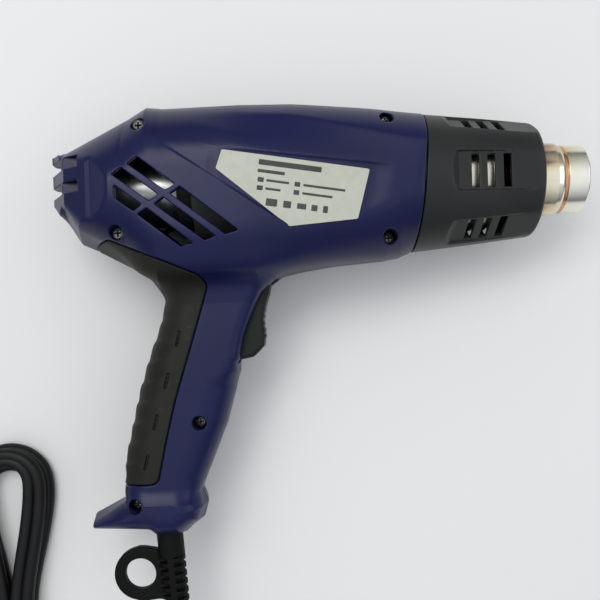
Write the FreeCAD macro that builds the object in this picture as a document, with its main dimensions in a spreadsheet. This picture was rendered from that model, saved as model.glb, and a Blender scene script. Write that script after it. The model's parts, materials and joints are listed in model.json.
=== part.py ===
import FreeCAD, Part

import math
import os

import Sketcher
from FreeCAD import Placement, Rotation, Vector

# An electric heat gun lying on its left side: +X along the barrel to the nozzle, the handle towards -Y,
# +Z up. The parts are drawn in the gun's own frame, whose X axis is the barrel's axis and whose Z = 0 is
# the plane where the two housing halves meet, and every finished part is then moved so that the origin is
# at the bottom centre of the gun's box. Lengths are millimetres and angles are degrees.

doc = FreeCAD.newDocument("heat_gun")
sheet = doc.addObject("Spreadsheet::Sheet", "Sizes")

# ---------------------------------------------------------------- driving dimensions

DIMENSIONS = {
    "origin_x": 133.4,  # middle of the gun's box along the barrel, from the tips of the rear fins
    "origin_y": -93.24,  # middle of the gun's box across the barrel
    "side_half": 38.0,  # half the thickness, from the parting plane to the flat side panel
    "wall": 3.0,
    "grip_skin": 1.8,
    # housing, seen from the side
    "fin_tip_x": 0.0,
    "rear_wall_x": 4.2,
    "rear_top_y": 19.5,
    "rear_bottom_y": -9.0,
    "shoulder_x": 50.5,
    "barrel_top_y": 42.0,
    "top_mid_x": 95.7,
    "top_mid_y": 41.2,
    "top_front_x": 160.9,
    "top_front_y": 37.4,
    "seam_top_x": 188.8,
    "seam_top_y": 34.0,
    "seam_bottom_x": 180.6,
    "seam_bottom_y": -34.6,
    "belly_front_x": 143.0,
    "belly_front_y": -40.1,
    "belly_rear_x": 113.0,
    "belly_rear_y": -44.6,
    "neck_rear_x": 44.7,
    "neck_rear_y": -41.6,
    "tail_low_x": 21.8,
    "tail_low_y": -29.3,
    "tail_mid_x": 10.1,
    "tail_mid_y": -20.7,
    "shoulder_round": 4.0,
    "tail_round": 5.0,
    # housing, seen from above: half widths
    "rear_half": 26.0,
    "panel_rear_x": 37.0,
    "panel_front_x": 100.0,
    "front_half": 34.7,
    # round envelope of the barrel: radii
    "envelope_rear": 35.0,
    "envelope_mid": 47.5,
    "envelope_mid_x": 50.0,
    "envelope_front_x": 100.0,
    "envelope_front": 46.0,
    "barrel_end": 34.7,
    # rear fins
    "fin_length": 10.0,
    "fin_height": 6.6,
    "fin_pitch": 10.0,
    "fin_low_y": -8.0,
    "fin_half": 25.0,
    # handle and its base: where each section lies, its back and front edges, half depth and corner radius
    "handle_root_y": -30.0,
    "handle_root_back": 38.0,
    "handle_root_front": 118.0,
    "handle_root_half": 22.0,
    "handle_neck_y": -46.0,
    "handle_neck_back": 50.4,
    "handle_neck_front": 110.5,
    "handle_neck_half": 19.0,
    "handle_web_y": -58.0,
    "handle_web_back": 55.5,
    "handle_web_front": 102.0,
    "handle_finger_y": -86.0,
    "handle_finger_back": 46.2,
    "handle_finger_front": 92.6,
    "handle_palm_y": -118.0,
    "handle_palm_back": 36.8,
    "handle_palm_front": 84.9,
    "handle_low_y": -146.0,
    "handle_low_back": 32.7,
    "handle_low_front": 73.0,
    "handle_half": 17.5,
    "handle_corner": 14.0,
    "base_flare_y": -156.0,
    "base_flare_back": 31.5,
    "base_flare_front": 73.5,
    "base_toe_y": -163.5,
    "base_toe_back": 16.5,
    "base_toe_front": 72.6,
    "base_half": 21.0,
    "base_corner": 8.0,
    "base_under_y": -171.0,
    "base_under_back": 15.0,
    "base_under_front": 65.5,
    "base_under_half": 19.0,
    "boss_radius": 11.2,
    "boss_end_y": -174.8,
    # rubber grip outline, seen from the side
    "grip_top_x": 28.0,
    "grip_top_y": -26.5,
    "grip_bend_x": 75.7,
    "grip_bend_y": -44.3,
    "grip_nose_x": 79.0,
    "grip_nose_y": -49.5,
    "grip_mid_x": 65.7,
    "grip_mid_y": -91.2,
    "grip_low_x": 52.8,
    "grip_low_y": -140.0,
    "grip_end_y": -145.3,
    "grip_round": 4.0,
    # screws that close the housing
    "screw_radius": 1.5,
    "screw_head_radius": 2.9,
    "screw_head_height": 2.2,
    "screw_tip_z": -12.0,
    "screw_boss_radius": 4.2,
    "counterbore_radius": 3.4,
    "barrel_screw_z": 24.0,
    "handle_screw_z": 9.0,
    "screw_1_x": 49.6,
    "screw_1_y": 27.0,
    "screw_2_x": 38.4,
    "screw_2_y": -23.6,
    "screw_3_x": 167.3,
    "screw_3_y": 27.5,
    "screw_4_x": 167.3,
    "screw_4_y": -29.0,
    "screw_5_x": 72.7,
    "screw_5_y": -116.0,
    "screw_6_x": 40.6,
    "screw_6_y": -155.5,
    # air vents: six slanted slots, each along the same slope
    "vent_width": 4.4,
    "vent_slope": -38.5,
    # rating label in its shallow recess
    "vent_low": 20.0,
    "label_thick": 0.4,
    "label_top": 41.05,  # along the panel's normal, at the tips of the fins
    "panel_slope": 2.06,  # the side panel's fall towards the nozzle
    # heat guard
    "guard_rear_x": 176.0,
    "guard_front_x": 241.0,
    "guard_rear_radius": 35.0,
    "guard_front_radius": 28.3,
    "guard_wall": 2.4,
    "guard_mouth_radius": 18.9,
    "guard_spigot_radius": 31.9,
    "guard_spigot_wall": 2.0,
    "guard_bore_radius": 32.2,
    "guard_slot_width": 3.5,
    "guard_slot_length": 15.4,
    "guard_slot_1_x": 207.8,
    "guard_slot_2_x": 214.3,
    "guard_slot_3_x": 222.0,
    "guard_slot_groups": 6,
    # outlet nozzle
    "nozzle_rear_x": 174.5,
    "nozzle_tube_radius": 18.4,
    "nozzle_tube_end_x": 254.9,
    "nozzle_groove_end_x": 256.3,
    "nozzle_groove_radius": 16.4,
    "nozzle_ring_radius": 17.0,
    "nozzle_tip_x": 266.8,
    "nozzle_wall": 0.9,
    # heater
    "flange_x": 172.5,
    "flange_thick": 2.0,
    "flange_radius": 30.6,
    "flange_hole": 14.9,
    "shield_radius": 24.6,
    "shield_wall": 0.6,
    "shield_end_x": 218.0,
    "sleeve_radius": 15.4,
    "sleeve_wall": 0.7,
    "sleeve_end_x": 238.0,
    "core_radius": 14.5,
    "core_end_x": 236.0,
    "core_hole_radius": 1.8,
    "core_inner_ring": 5.6,
    "core_outer_ring": 10.9,
    "coil_radius": 1.5,
    "coil_hollow": 1.0,
    "coil_length": 58.0,
    "fuse_radius": 2.0,
    "fuse_length": 11.0,
    "fuse_x": 150.0,
    "fuse_y": -24.0,
    # motor
    "can_rear_x": 30.0,
    "can_front_x": 74.0,
    "can_radius": 18.0,
    "can_wall": 1.2,
    "cap_rear_x": 22.0,
    "cap_radius": 17.0,
    "magnet_inner": 14.0,
    "magnet_rear_x": 36.0,
    "magnet_front_x": 68.0,
    "armature_radius": 13.0,
    "armature_rear_x": 39.0,
    "armature_front_x": 65.0,
    "commutator_radius": 5.0,
    "commutator_rear_x": 32.0,
    "shaft_radius": 1.6,
    "shaft_rear_x": 18.0,
    "shaft_front_x": 106.0,
    "bush_bore": 1.65,
    "bush_radius": 4.0,
    "bush_length": 5.0,
    "terminal_width": 4.0,
    "terminal_thick": 0.8,
    "terminal_reach": 8.0,
    "terminal_offset": 10.0,
    "mount_thick": 3.0,
    "mount_radius": 30.0,
    "mount_hole_radius": 4.0,
    "mount_hole_ring": 22.0,
    "mount_hole_count": 10,
    "damper_width": 8.0,
    "damper_thick": 2.5,
    "damper_x": 65.5,
    # fan
    "hub_radius": 8.0,
    "fan_radius": 27.0,
    "fan_rear_x": 84.0,
    "fan_plate": 1.5,
    "fan_front_x": 101.0,
    "blade_thick": 1.2,
    "blade_count": 9,
    "duct_radius": 30.0,
    "duct_wall": 1.7,
    "duct_cone_x": 106.0,
    "duct_neck_x": 146.0,
    "duct_neck_radius": 17.5,
    # trigger and switch
    "pivot_x": 105.5,
    "pivot_y": -48.5,
    "pin_radius": 1.5,
    "pin_bore": 1.55,
    "pin_half": 11.0,
    "ear_radius": 3.6,
    "trigger_half": 9.0,
    "slot_half": 9.4,
    "slot_top_y": -44.6,
    "slot_bottom_y": -88.0,
    "slot_back_x": 78.0,
    "slot_front_x": 111.0,
    "switch_rear_x": 60.0,
    "switch_front_x": 81.0,
    "switch_top_y": -58.0,
    "switch_bottom_y": -84.0,
    "switch_half": 8.0,
    "plunger_y": -72.0,
    "plunger_high": 8.0,
    "plunger_wide": 7.0,
    "plunger_rear_x": 72.0,
    "plunger_tip_x": 90.0,
    "plunger_gap": 0.3,
    "plunger_well_x": 64.0,
    # electrics
    "board_rear_x": 76.0,
    "board_front_x": 108.0,
    "board_y": -38.0,
    "board_thick": 1.6,
    "board_half": 12.0,
    "diode_radius": 1.4,
    "diode_length": 6.0,
    "diode_pitch": 5.0,
    "capacitor_long": 12.0,
    "capacitor_high": 5.0,
    "capacitor_wide": 10.0,
    "block_rear_x": 44.0,
    "block_front_x": 66.0,
    "block_top_y": -104.0,
    "block_bottom_y": -128.0,
    "block_half": 6.0,
    "lead_radius": 1.1,
    "lead_offset": 3.5,
    "lead_x": 62.5,
    "core_x": 50.9,
    "core_bottom_y": -138.8,
    "core_offset": 1.7,
    "clamp_y": -147.0,
    "clamp_long": 26.0,
    "clamp_high": 7.0,
    "clamp_thick": 3.0,
    "clamp_screw_reach": 9.5,
    "clamp_screw_inset": 3.5,
    # strain relief with its hanging ring
    "relief_x": 53.6,
    "relief_tilt": 4.3,
    "relief_length": 53.5,
    "sheath_inside": 36.0,  # how far the cord's sheath reaches up inside the handle
    "relief_radius": 6.65,
    "relief_tip_radius": 5.2,
    "relief_taper": 30.0,
    "relief_flange_radius": 9.3,
    "relief_flange_start": 8.0,
    "relief_flange_end": 11.0,
    "relief_hole": 7.6,
    "ring_x": 38.4,
    "ring_y": -193.5,
    "ring_bore": 7.8,
    "ring_radius": 13.3,
    "ring_thick": 5.0,
    # power cord
    "cord_radius": 3.5,
    "hank_half": 24.5,
    "hank_waist": 11.5,
    "hank_x": -41.0,
    "hank_top_y": -131.0,
    "hank_bottom_y": -321.0,
    "hank_shoulder": 39.0,
    "hank_round": 22.5,
    "hank_high": 14.0,
    "tie_width": 5.0,
    "tie_spare": 2.6,
    "tie_thick": 1.4,
    "plug_half": 17.5,
    "plug_long": 40.0,
    "plug_high": 15.0,
    "plug_nose": 11.0,
    "plug_turn": -111.0,
    "plug_pin_radius": 2.4,
    "plug_pin_length": 19.0,
    "plug_pin_spacing": 19.0,
}


class Size:
    """A length with its value and the expression that gives it from the sheet's cells."""

    def __init__(self, value, text):
        self.value = value
        self.text = text

    def __add__(self, other):
        other = size(other)
        return Size(self.value + other.value, f"({self.text} + {other.text})")

    def __sub__(self, other):
        other = size(other)
        return Size(self.value - other.value, f"({self.text} - {other.text})")

    def __mul__(self, other):
        other = size(other)
        return Size(self.value * other.value, f"({self.text} * {other.text})")

    def __truediv__(self, other):
        other = size(other)
        return Size(self.value / other.value, f"({self.text} / {other.text})")

    def __neg__(self):
        return Size(-self.value, f"(0 - {self.text})")


def size(number):
    return number if isinstance(number, Size) else Size(float(number), repr(float(number)))


class Cells:
    """The sheet's cells as attributes, each a Size."""


d = Cells()
for row, (alias, number) in enumerate(DIMENSIONS.items(), start=1):
    sheet.set(f"A{row}", alias)
    sheet.set(f"B{row}", str(number))
    sheet.setAlias(f"B{row}", alias)
    setattr(d, alias, Size(float(number), f"Sizes.{alias}"))
doc.recompute()

# ---------------------------------------------------------------- drawing helpers


def bind(item, **sizes):
    """Bind properties of a document object to sheet sizes; __ in a name stands for a dot."""
    for name, value in sizes.items():
        item.setExpression(name.replace("__", "."), size(value).text)


def fix_point(sketch, geometry, end, x, y):
    """Hold a point of a sketch at sheet sizes, measured from the sketch's origin."""
    for kind, value in (("DistanceX", x), ("DistanceY", y)):
        number = sketch.addConstraint(Sketcher.Constraint(kind, -1, 1, geometry, end, value.value))
        sketch.setExpression(f"Constraints[{number}]", value.text)


def corner_arc(before, corner, after, radius):
    """The arc that rounds a corner, its two ends along the outline, and whether the outline turns left."""
    into = (corner - before).normalize()
    out = (after - corner).normalize()
    half_turn = math.acos(max(-1.0, min(1.0, into.dot(out)))) / 2
    left = into.cross(out).z > 0
    reach = radius * math.tan(half_turn)
    first = corner - into * reach
    last = corner + out * reach
    side = Vector(-into.y, into.x, 0) if left else Vector(into.y, -into.x, 0)
    centre = first + side * radius
    start, end = (first, last) if left else (last, first)
    angles = [math.atan2(p.y - centre.y, p.x - centre.x) for p in (start, end)]
    circle = Part.Circle(centre, Vector(0, 0, 1), radius)
    return Part.ArcOfCircle(circle, *angles), first, last, left


def draw_outline(sketch, points):
    """A closed outline of straight sides; a point's third size, if any, is the radius of its corner."""
    corners = [[size(v) for v in p] for p in points]
    places = [Vector(p[0].value, p[1].value, 0) for p in corners]
    count = len(corners)
    arcs = {}
    starts = list(places)
    ends = [places[(i + 1) % count] for i in range(count)]
    for i, corner in enumerate(corners):
        if len(corner) > 2:
            before, after = places[i - 1], places[(i + 1) % count]
            arc, first, last, left = corner_arc(before, places[i], after, corner[2].value)
            arcs[i] = (arc, left)
            starts[i] = last
            ends[i - 1] = first
    sides = [sketch.addGeometry(Part.LineSegment(starts[i], ends[i])) for i in range(count)]
    for i, corner in enumerate(corners):
        before, after = sides[i - 1], sides[i]
        if i not in arcs:
            sketch.addConstraint(Sketcher.Constraint("Coincident", before, 2, after, 1))
            fix_point(sketch, after, 1, corner[0], corner[1])
            continue
        arc = sketch.addGeometry(arcs[i][0])
        begin, finish = (1, 2) if arcs[i][1] else (2, 1)
        sketch.addConstraint(Sketcher.Constraint("Tangent", before, 2, arc, begin))
        sketch.addConstraint(Sketcher.Constraint("Tangent", after, 1, arc, finish))
        number = sketch.addConstraint(Sketcher.Constraint("Radius", arc, corner[2].value))
        sketch.setExpression(f"Constraints[{number}]", corner[2].text)
        point = sketch.addGeometry(Part.Point(places[i]), True)
        sketch.addConstraint(Sketcher.Constraint("PointOnObject", point, 1, before))
        sketch.addConstraint(Sketcher.Constraint("PointOnObject", point, 1, after))
        fix_point(sketch, point, 1, corner[0], corner[1])


def draw_circle(sketch, x, y, radius):
    x, y, radius = size(x), size(y), size(radius)
    centre = Vector(x.value, y.value, 0)
    circle = sketch.addGeometry(Part.Circle(centre, Vector(0, 0, 1), radius.value))
    fix_point(sketch, circle, 3, x, y)
    number = sketch.addConstraint(Sketcher.Constraint("Radius", circle, radius.value))
    sketch.setExpression(f"Constraints[{number}]", radius.text)


def new_body(name):
    return doc.addObject("PartDesign::Body", name)


def new_sketch(body, name, plane="XY_Plane", offset=0):
    """A sketch on one of the body's own planes, moved along the plane's normal by an offset."""
    sketch = body.newObject("Sketcher::SketchObject", name)
    origin_plane = next(f for f in body.Origin.OriginFeatures if f.Role == plane)
    sketch.AttachmentSupport = [(origin_plane, "")]
    sketch.MapMode = "FlatFace"
    bind(sketch, AttachmentOffset__Base__z=offset)
    return sketch


def axis_of(body, role):
    return next(f for f in body.Origin.OriginFeatures if f.Role == role)


def pad(body, name, sketch, length, midplane=False, reverse=False):
    feature = body.newObject("PartDesign::Pad", name)
    feature.Profile = sketch
    feature.Midplane = midplane
    feature.Reversed = reverse
    bind(feature, Length=length)
    return feature


def cut_volume(body, feature):
    """Make sure that a cutting feature takes something away."""
    before = feature.BaseFeature.Shape.Volume
    doc.recompute()
    if not feature.Shape.Volume < before - 1e-3:
        raise RuntimeError(f"{feature.Name} in {body.Name} cuts nothing")
    return feature


def pocket(body, name, sketch, length, midplane=False, reverse=False):
    doc.recompute()
    feature = body.newObject("PartDesign::Pocket", name)
    feature.Profile = sketch
    feature.Midplane = midplane
    feature.Reversed = reverse
    bind(feature, Length=length)
    return cut_volume(body, feature)


def turned(name, profile, offset_angle=360.0):
    """A body turned about the barrel's axis from an outline of (x, radius) points."""
    body = new_body(name)
    sketch = new_sketch(body, f"{name}_profile")
    draw_outline(sketch, profile)
    feature = body.newObject("PartDesign::Revolution", f"{name}_turn")
    feature.Profile = sketch
    feature.ReferenceAxis = (axis_of(body, "X_Axis"), [""])
    feature.Angle = offset_angle
    return body


def tube_profile(x0, x1, inner, outer):
    return [(x0, inner), (x1, inner), (x1, outer), (x0, outer)]


def polar(body, feature, count):
    """Repeat a body's feature evenly about the barrel's axis."""
    doc.recompute()
    pattern = body.newObject("PartDesign::PolarPattern", f"{feature.Name}_pattern")
    pattern.Originals = [feature]
    pattern.Axis = (axis_of(body, "X_Axis"), [""])
    pattern.Angle = 360
    bind(pattern, Occurrences=count)
    body.Tip = pattern
    return pattern


def extruded(name, outline, low, high):
    """A body of an outline in the XY plane from height low to height high."""
    body = new_body(name)
    sketch = new_sketch(body, f"{name}_outline", offset=low)
    draw_outline(sketch, outline)
    pad(body, f"{name}_pad", sketch, size(high) - low)
    return body


def box(name, x0, x1, y0, y1, z0, z1):
    item = doc.addObject("Part::Box", name)
    bind(item, Length=size(x1) - x0, Width=size(y1) - y0, Height=size(z1) - z0)
    bind(item, Placement__Base__x=x0, Placement__Base__y=y0, Placement__Base__z=z0)
    return item


TURN_TO = {"x": Rotation(Vector(0, 1, 0), 90), "y": Rotation(Vector(1, 0, 0), -90), "z": Rotation()}


def rod(name, along, x, y, z, radius, length):
    """A cylinder from a point, along the positive x, y or z direction."""
    item = doc.addObject("Part::Cylinder", name)
    item.Placement = Placement(Vector(), TURN_TO[along])
    bind(item, Radius=radius, Height=length)
    bind(item, Placement__Base__x=x, Placement__Base__y=y, Placement__Base__z=z)
    return item


def fuse(name, *items):
    item = doc.addObject("Part::MultiFuse", name)
    item.Shapes = list(items)
    return item


def common(name, *items):
    item = doc.addObject("Part::MultiCommon", name)
    item.Shapes = list(items)
    return item


def cut(name, base, *tools):
    tool = tools[0] if len(tools) == 1 else fuse(f"{name}_tools", *tools)
    item = doc.addObject("Part::Cut", name)
    item.Base = base
    item.Tool = tool
    return item


def group(name, *items):
    """Several separate solids kept as one node."""
    item = doc.addObject("Part::Compound", name)
    item.Links = list(items)
    return item


def smooth_route(points):
    """Straight runs joined by tangent arcs, each as large as its two runs allow; returns edges and radii."""
    edges, radii = [], []
    place = points[0]
    for before, corner, after in zip(points, points[1:], points[2:]):
        into = corner - before
        out = after - corner
        half_turn = into.getAngle(out) / 2
        reach = 0.45 * min(into.Length, out.Length)
        first = corner - Vector(into).normalize() * reach
        last = corner + Vector(out).normalize() * reach
        towards = (Vector(out).normalize() - Vector(into).normalize()).normalize()
        radius = reach / math.tan(half_turn)
        centre = corner + towards * (radius / math.cos(half_turn))
        middle = centre - towards * radius
        edges += [Part.LineSegment(place, first).toShape(), Part.Arc(first, middle, last).toShape()]
        radii.append(radius)
        place = last
    edges.append(Part.LineSegment(place, points[-1]).toShape())
    return edges, radii


def cable(name, points, radius):
    """A round cable along a route, as one solid; its volume is compared with its section times its length."""
    edges, radii = smooth_route(points)
    wire = Part.Wire(edges)
    start = Part.Wire(Part.Circle(points[0], points[1] - points[0], radius).toShape())
    solid = wire.makePipeShell([start], True, False)
    expected = math.pi * radius**2 * wire.Length
    print(f"{name}: length {wire.Length:.0f}, smallest radius {min(radii, default=0):.0f}")
    if abs(solid.Volume / expected - 1) > 0.01:
        raise RuntimeError(f"{name} has the wrong volume")
    item = doc.addObject("Part::Feature", name)
    item.Shape = solid
    return item


far = d.side_half * 2
nodes = {}


def node(name, item):
    """Name a finished part and move it from the gun's frame to the part's frame."""
    if item.TypeId in ("Part::Box", "Part::Cylinder"):
        item = group(f"{name}_piece", item)
    item.Label = name
    bind(
        item,
        Placement__Base__x=-d.origin_x,
        Placement__Base__y=-d.origin_y,
        Placement__Base__z=d.side_half,
    )
    nodes[name] = item
    return item


# ---------------------------------------------------------------- heat guard, nozzle and heater


def heat_guard():
    """A slotted cone with an end wall, its rear edge slanted to meet the housing, and a spigot."""
    rear, front, wall = d.guard_rear_radius, d.guard_front_radius, d.guard_wall
    cone = turned(
        "guard_cone",
        [
            (d.guard_rear_x, rear - wall),
            (d.guard_front_x - wall, front - wall),
            (d.guard_front_x - wall, d.guard_mouth_radius),
            (d.guard_front_x, d.guard_mouth_radius),
            (d.guard_front_x, front, 2.0),
            (d.guard_rear_x, rear),
        ],
    )
    doc.recompute()
    slots = new_sketch(cone, "guard_slots", "XZ_Plane")
    half_width, half_length = d.guard_slot_width / 2, d.guard_slot_length / 2
    for x in (d.guard_slot_1_x, d.guard_slot_2_x, d.guard_slot_3_x):
        draw_outline(
            slots,
            [
                (x - half_width, -half_length),
                (x + half_width, -half_length),
                (x + half_width, half_length),
                (x - half_width, half_length),
            ],
        )
    cutter = pocket(cone, "guard_slot_cut", slots, d.guard_rear_radius + 5)
    polar(cone, cutter, d.guard_slot_groups)
    behind = extruded(
        "behind_seam",
        [
            (d.guard_rear_x - 5, d.barrel_top_y),
            (d.guard_rear_x - 5, -d.barrel_top_y),
            (d.seam_bottom_x - 0.9, -d.barrel_top_y),
            (d.seam_top_x + 1.0, d.barrel_top_y),
        ],
        -far,
        far,
    )
    spigot = turned(
        "guard_spigot",
        [
            (d.guard_rear_x, d.guard_spigot_radius - d.guard_spigot_wall),
            (d.seam_top_x + 4, d.guard_spigot_radius - d.guard_spigot_wall),
            (d.seam_top_x + 4, d.guard_spigot_radius + 0.6),
            (d.seam_top_x + 1, d.guard_spigot_radius),
            (d.guard_rear_x, d.guard_spigot_radius),
        ],
    )
    return fuse("guard", cut("guard_cut", cone, behind), spigot)


node("heat_guard", heat_guard())

inner_tube = d.nozzle_tube_radius - d.nozzle_wall
inner_ring = d.nozzle_ring_radius - d.nozzle_wall
nozzle_profile = [
    (d.nozzle_rear_x, inner_tube),
    (d.nozzle_tube_end_x - 1, inner_tube),
    (d.nozzle_tube_end_x, d.nozzle_groove_radius - d.nozzle_wall),
    (d.nozzle_groove_end_x, d.nozzle_groove_radius - d.nozzle_wall),
    (d.nozzle_groove_end_x + 0.6, inner_ring),
    (d.nozzle_tip_x, inner_ring),
    (d.nozzle_tip_x, d.nozzle_ring_radius),
    (d.nozzle_groove_end_x, d.nozzle_ring_radius),
    (d.nozzle_groove_end_x, d.nozzle_groove_radius),
    (d.nozzle_tube_end_x, d.nozzle_groove_radius),
    (d.nozzle_tube_end_x, d.nozzle_tube_radius, 1.2),
    (d.nozzle_rear_x, d.nozzle_tube_radius),
]
node("nozzle", turned("outlet_nozzle", nozzle_profile))

shield_inner = d.shield_radius - d.shield_wall
flange_front = d.flange_x + d.flange_thick
shield_profile = tube_profile(flange_front, d.shield_end_x, shield_inner, d.shield_radius)
node("heat_shield", turned("shield", shield_profile))
flange_profile = tube_profile(d.flange_x, flange_front, d.flange_hole, d.flange_radius)
node("heater_flange", turned("flange", flange_profile))
sleeve_inner = d.sleeve_radius - d.sleeve_wall
sleeve_profile = tube_profile(flange_front, d.sleeve_end_x, sleeve_inner, d.sleeve_radius)
node("mica_sleeve", turned("sleeve", sleeve_profile))


# the core's rings of channels: radius, and how many channels
CORE_RINGS = ((d.core_inner_ring, 6), (d.core_outer_ring, 12))


def ceramic_core():
    """A ceramic rod with two rings of lengthwise channels for the heating coils."""
    core = turned("ceramic", tube_profile(flange_front, d.core_end_x, d.core_hole_radius, d.core_radius))
    for ring, count in CORE_RINGS:
        doc.recompute()
        sketch = new_sketch(core, f"channel_{count}", "YZ_Plane", flange_front - 1)
        draw_circle(sketch, ring, 0, d.core_hole_radius)
        hole = pocket(core, f"channel_cut_{count}", sketch, d.core_end_x - flange_front + 2, reverse=True)
        polar(core, hole, count)
    return core


node("heater_core", ceramic_core())

coils = []
for ring, count in CORE_RINGS:
    for number in range(count):
        turn = math.radians(360 / count * number)
        y, z = ring * math.cos(turn), ring * math.sin(turn)
        outer = rod(f"coil_{count}_{number}", "x", flange_front + 2, y, z, d.coil_radius, d.coil_length)
        inner = rod(
            f"coil_hollow_{count}_{number}", "x", flange_front + 1, y, z, d.coil_hollow, d.coil_length + 2
        )
        coils.append(cut(f"coil_tube_{count}_{number}", outer, inner))
node("heater_coils", group("coil_set", *coils))

node("thermal_fuse", rod("fuse", "x", d.fuse_x, d.fuse_y, 0, d.fuse_radius, d.fuse_length))

# ---------------------------------------------------------------- motor, fan and its duct

can_inner = d.can_radius - d.can_wall
can_front_inner = d.can_front_x - d.can_wall
bush_front_x = d.can_front_x + d.mount_thick
node(
    "motor_can",
    turned(
        "can",
        [
            (d.can_rear_x, can_inner),
            (can_front_inner, can_inner),
            (can_front_inner, d.bush_radius),
            (bush_front_x, d.bush_radius),
            (bush_front_x, d.bush_radius + 1),
            (d.can_front_x, d.bush_radius + 1),
            (d.can_front_x, d.can_radius, 1.5),
            (d.can_rear_x, d.can_radius),
        ],
    ),
)
front_bush_profile = tube_profile(bush_front_x - d.bush_length, bush_front_x, d.bush_bore, d.bush_radius)
node("front_bush", turned("bush_front", front_bush_profile))
node(
    "motor_end_cap",
    turned(
        "end_cap",
        [
            (d.cap_rear_x, d.bush_radius),
            (d.cap_rear_x + d.bush_length, d.bush_radius),
            (d.cap_rear_x + d.bush_length, d.cap_radius - 3),
            (d.can_rear_x + 1, d.cap_radius - 3),
            (d.can_rear_x + 1, can_inner),
            (d.can_rear_x, can_inner),
            (d.can_rear_x, d.cap_radius),
            (d.cap_rear_x + 3, d.cap_radius, 2.0),
            (d.cap_rear_x, d.bush_radius + 5),
        ],
    ),
)
rear_bush_profile = tube_profile(d.cap_rear_x, d.cap_rear_x + d.bush_length, d.bush_bore, d.bush_radius)
node("rear_bush", turned("bush_rear", rear_bush_profile))


def magnets():
    """Two magnet arcs inside the motor can, parted by gaps above and below the axis."""
    ring = turned("magnet_ring", tube_profile(d.magnet_rear_x, d.magnet_front_x, d.magnet_inner, can_inner))
    gap = box("magnet_gap", d.magnet_rear_x - 1, d.magnet_front_x + 1, -d.cap_radius, d.cap_radius, -4, 4)
    return cut("magnet_pair", ring, gap)


node("motor_magnets", magnets())
node(
    "armature",
    turned(
        "rotor",
        [
            (d.shaft_rear_x, 0),
            (d.shaft_front_x, 0),
            (d.shaft_front_x, d.shaft_radius),
            (d.armature_front_x, d.shaft_radius),
            (d.armature_front_x, d.armature_radius),
            (d.armature_rear_x, d.armature_radius),
            (d.armature_rear_x, d.commutator_radius),
            (d.commutator_rear_x, d.commutator_radius),
            (d.commutator_rear_x, d.shaft_radius),
            (d.shaft_rear_x, d.shaft_radius),
        ],
    ),
)
tabs = [
    box(
        f"brush_tab_{i}",
        d.cap_rear_x - d.terminal_reach,
        d.cap_rear_x,
        side - d.terminal_thick / 2,
        side + d.terminal_thick / 2,
        -d.terminal_width / 2,
        d.terminal_width / 2,
    )
    for i, side in enumerate((d.terminal_offset, -d.terminal_offset))
]
node("brush_terminals", group("brush_tabs", *tabs))


def motor_mount():
    """The disc that holds the motor in the duct, with air holes all round."""
    disc = turned(
        "mount_disc",
        tube_profile(d.can_front_x, bush_front_x, d.bush_radius + 1, d.mount_radius - d.duct_wall),
    )
    doc.recompute()
    sketch = new_sketch(disc, "mount_hole", "YZ_Plane", d.can_front_x - 1)
    draw_circle(sketch, d.mount_hole_ring, 0, d.mount_hole_radius)
    hole = pocket(disc, "mount_hole_cut", sketch, d.mount_thick + 2, reverse=True)
    polar(disc, hole, d.mount_hole_count)
    return disc


node("motor_mount", motor_mount())
damper_end = d.damper_x + d.damper_width
node(
    "motor_damper",
    turned("damper", tube_profile(d.damper_x, damper_end, d.can_radius, d.can_radius + d.damper_thick)),
)


def impeller():
    """A back plate with straight blades around a hub that is pressed on the shaft."""
    wheel = turned(
        "wheel",
        [
            (d.fan_rear_x, d.shaft_radius),
            (d.fan_front_x, d.shaft_radius),
            (d.fan_front_x, d.hub_radius - 2),
            (d.fan_rear_x + d.fan_plate, d.hub_radius),
            (d.fan_rear_x + d.fan_plate, d.fan_radius),
            (d.fan_rear_x, d.fan_radius),
        ],
    )
    doc.recompute()
    sketch = new_sketch(wheel, "blade_outline", "XY_Plane", -d.blade_thick / 2)
    draw_outline(
        sketch,
        [
            (d.fan_rear_x + d.fan_plate / 2, d.hub_radius - 3),
            (d.fan_front_x - 1, d.hub_radius - 3),
            (d.fan_front_x - 4, d.fan_radius),
            (d.fan_rear_x + d.fan_plate / 2, d.fan_radius),
        ],
    )
    blade = pad(wheel, "blade", sketch, d.blade_thick)
    polar(wheel, blade, d.blade_count)
    return wheel


node("fan_impeller", impeller())
duct_inner = d.duct_radius - d.duct_wall
neck_inner = d.duct_neck_radius - d.duct_wall
node(
    "fan_duct",
    turned(
        "duct",
        [
            (d.can_front_x, duct_inner),
            (d.duct_cone_x, duct_inner),
            (d.duct_neck_x, neck_inner),
            (d.flange_x, neck_inner),
            (d.flange_x, d.duct_neck_radius),
            (d.duct_neck_x, d.duct_neck_radius),
            (d.duct_cone_x, d.duct_radius),
            (d.can_front_x, d.duct_radius),
        ],
    ),
)

# ---------------------------------------------------------------- trigger and switch


# the trigger from the side: down the finger's side from the pin, round the toe and up behind
TRIGGER_OUTLINE = [
    (d.pivot_x + 3.4, d.pivot_y - 1.0),
    (108.6, -52.9),
    (106.1, -59.9, 12.0),
    (105.0, -67.0, 12.0),
    (105.8, -74.3, 6.0),
    (105.1, -79.6, 2.5),
    (92.6, -86.6, 2.0),
    (88.5, -84.6),
    (91.2, -72.0),
    (95.0, -60.0),
    (d.pivot_x - 3.4, d.pivot_y - 1.2),
]


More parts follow.
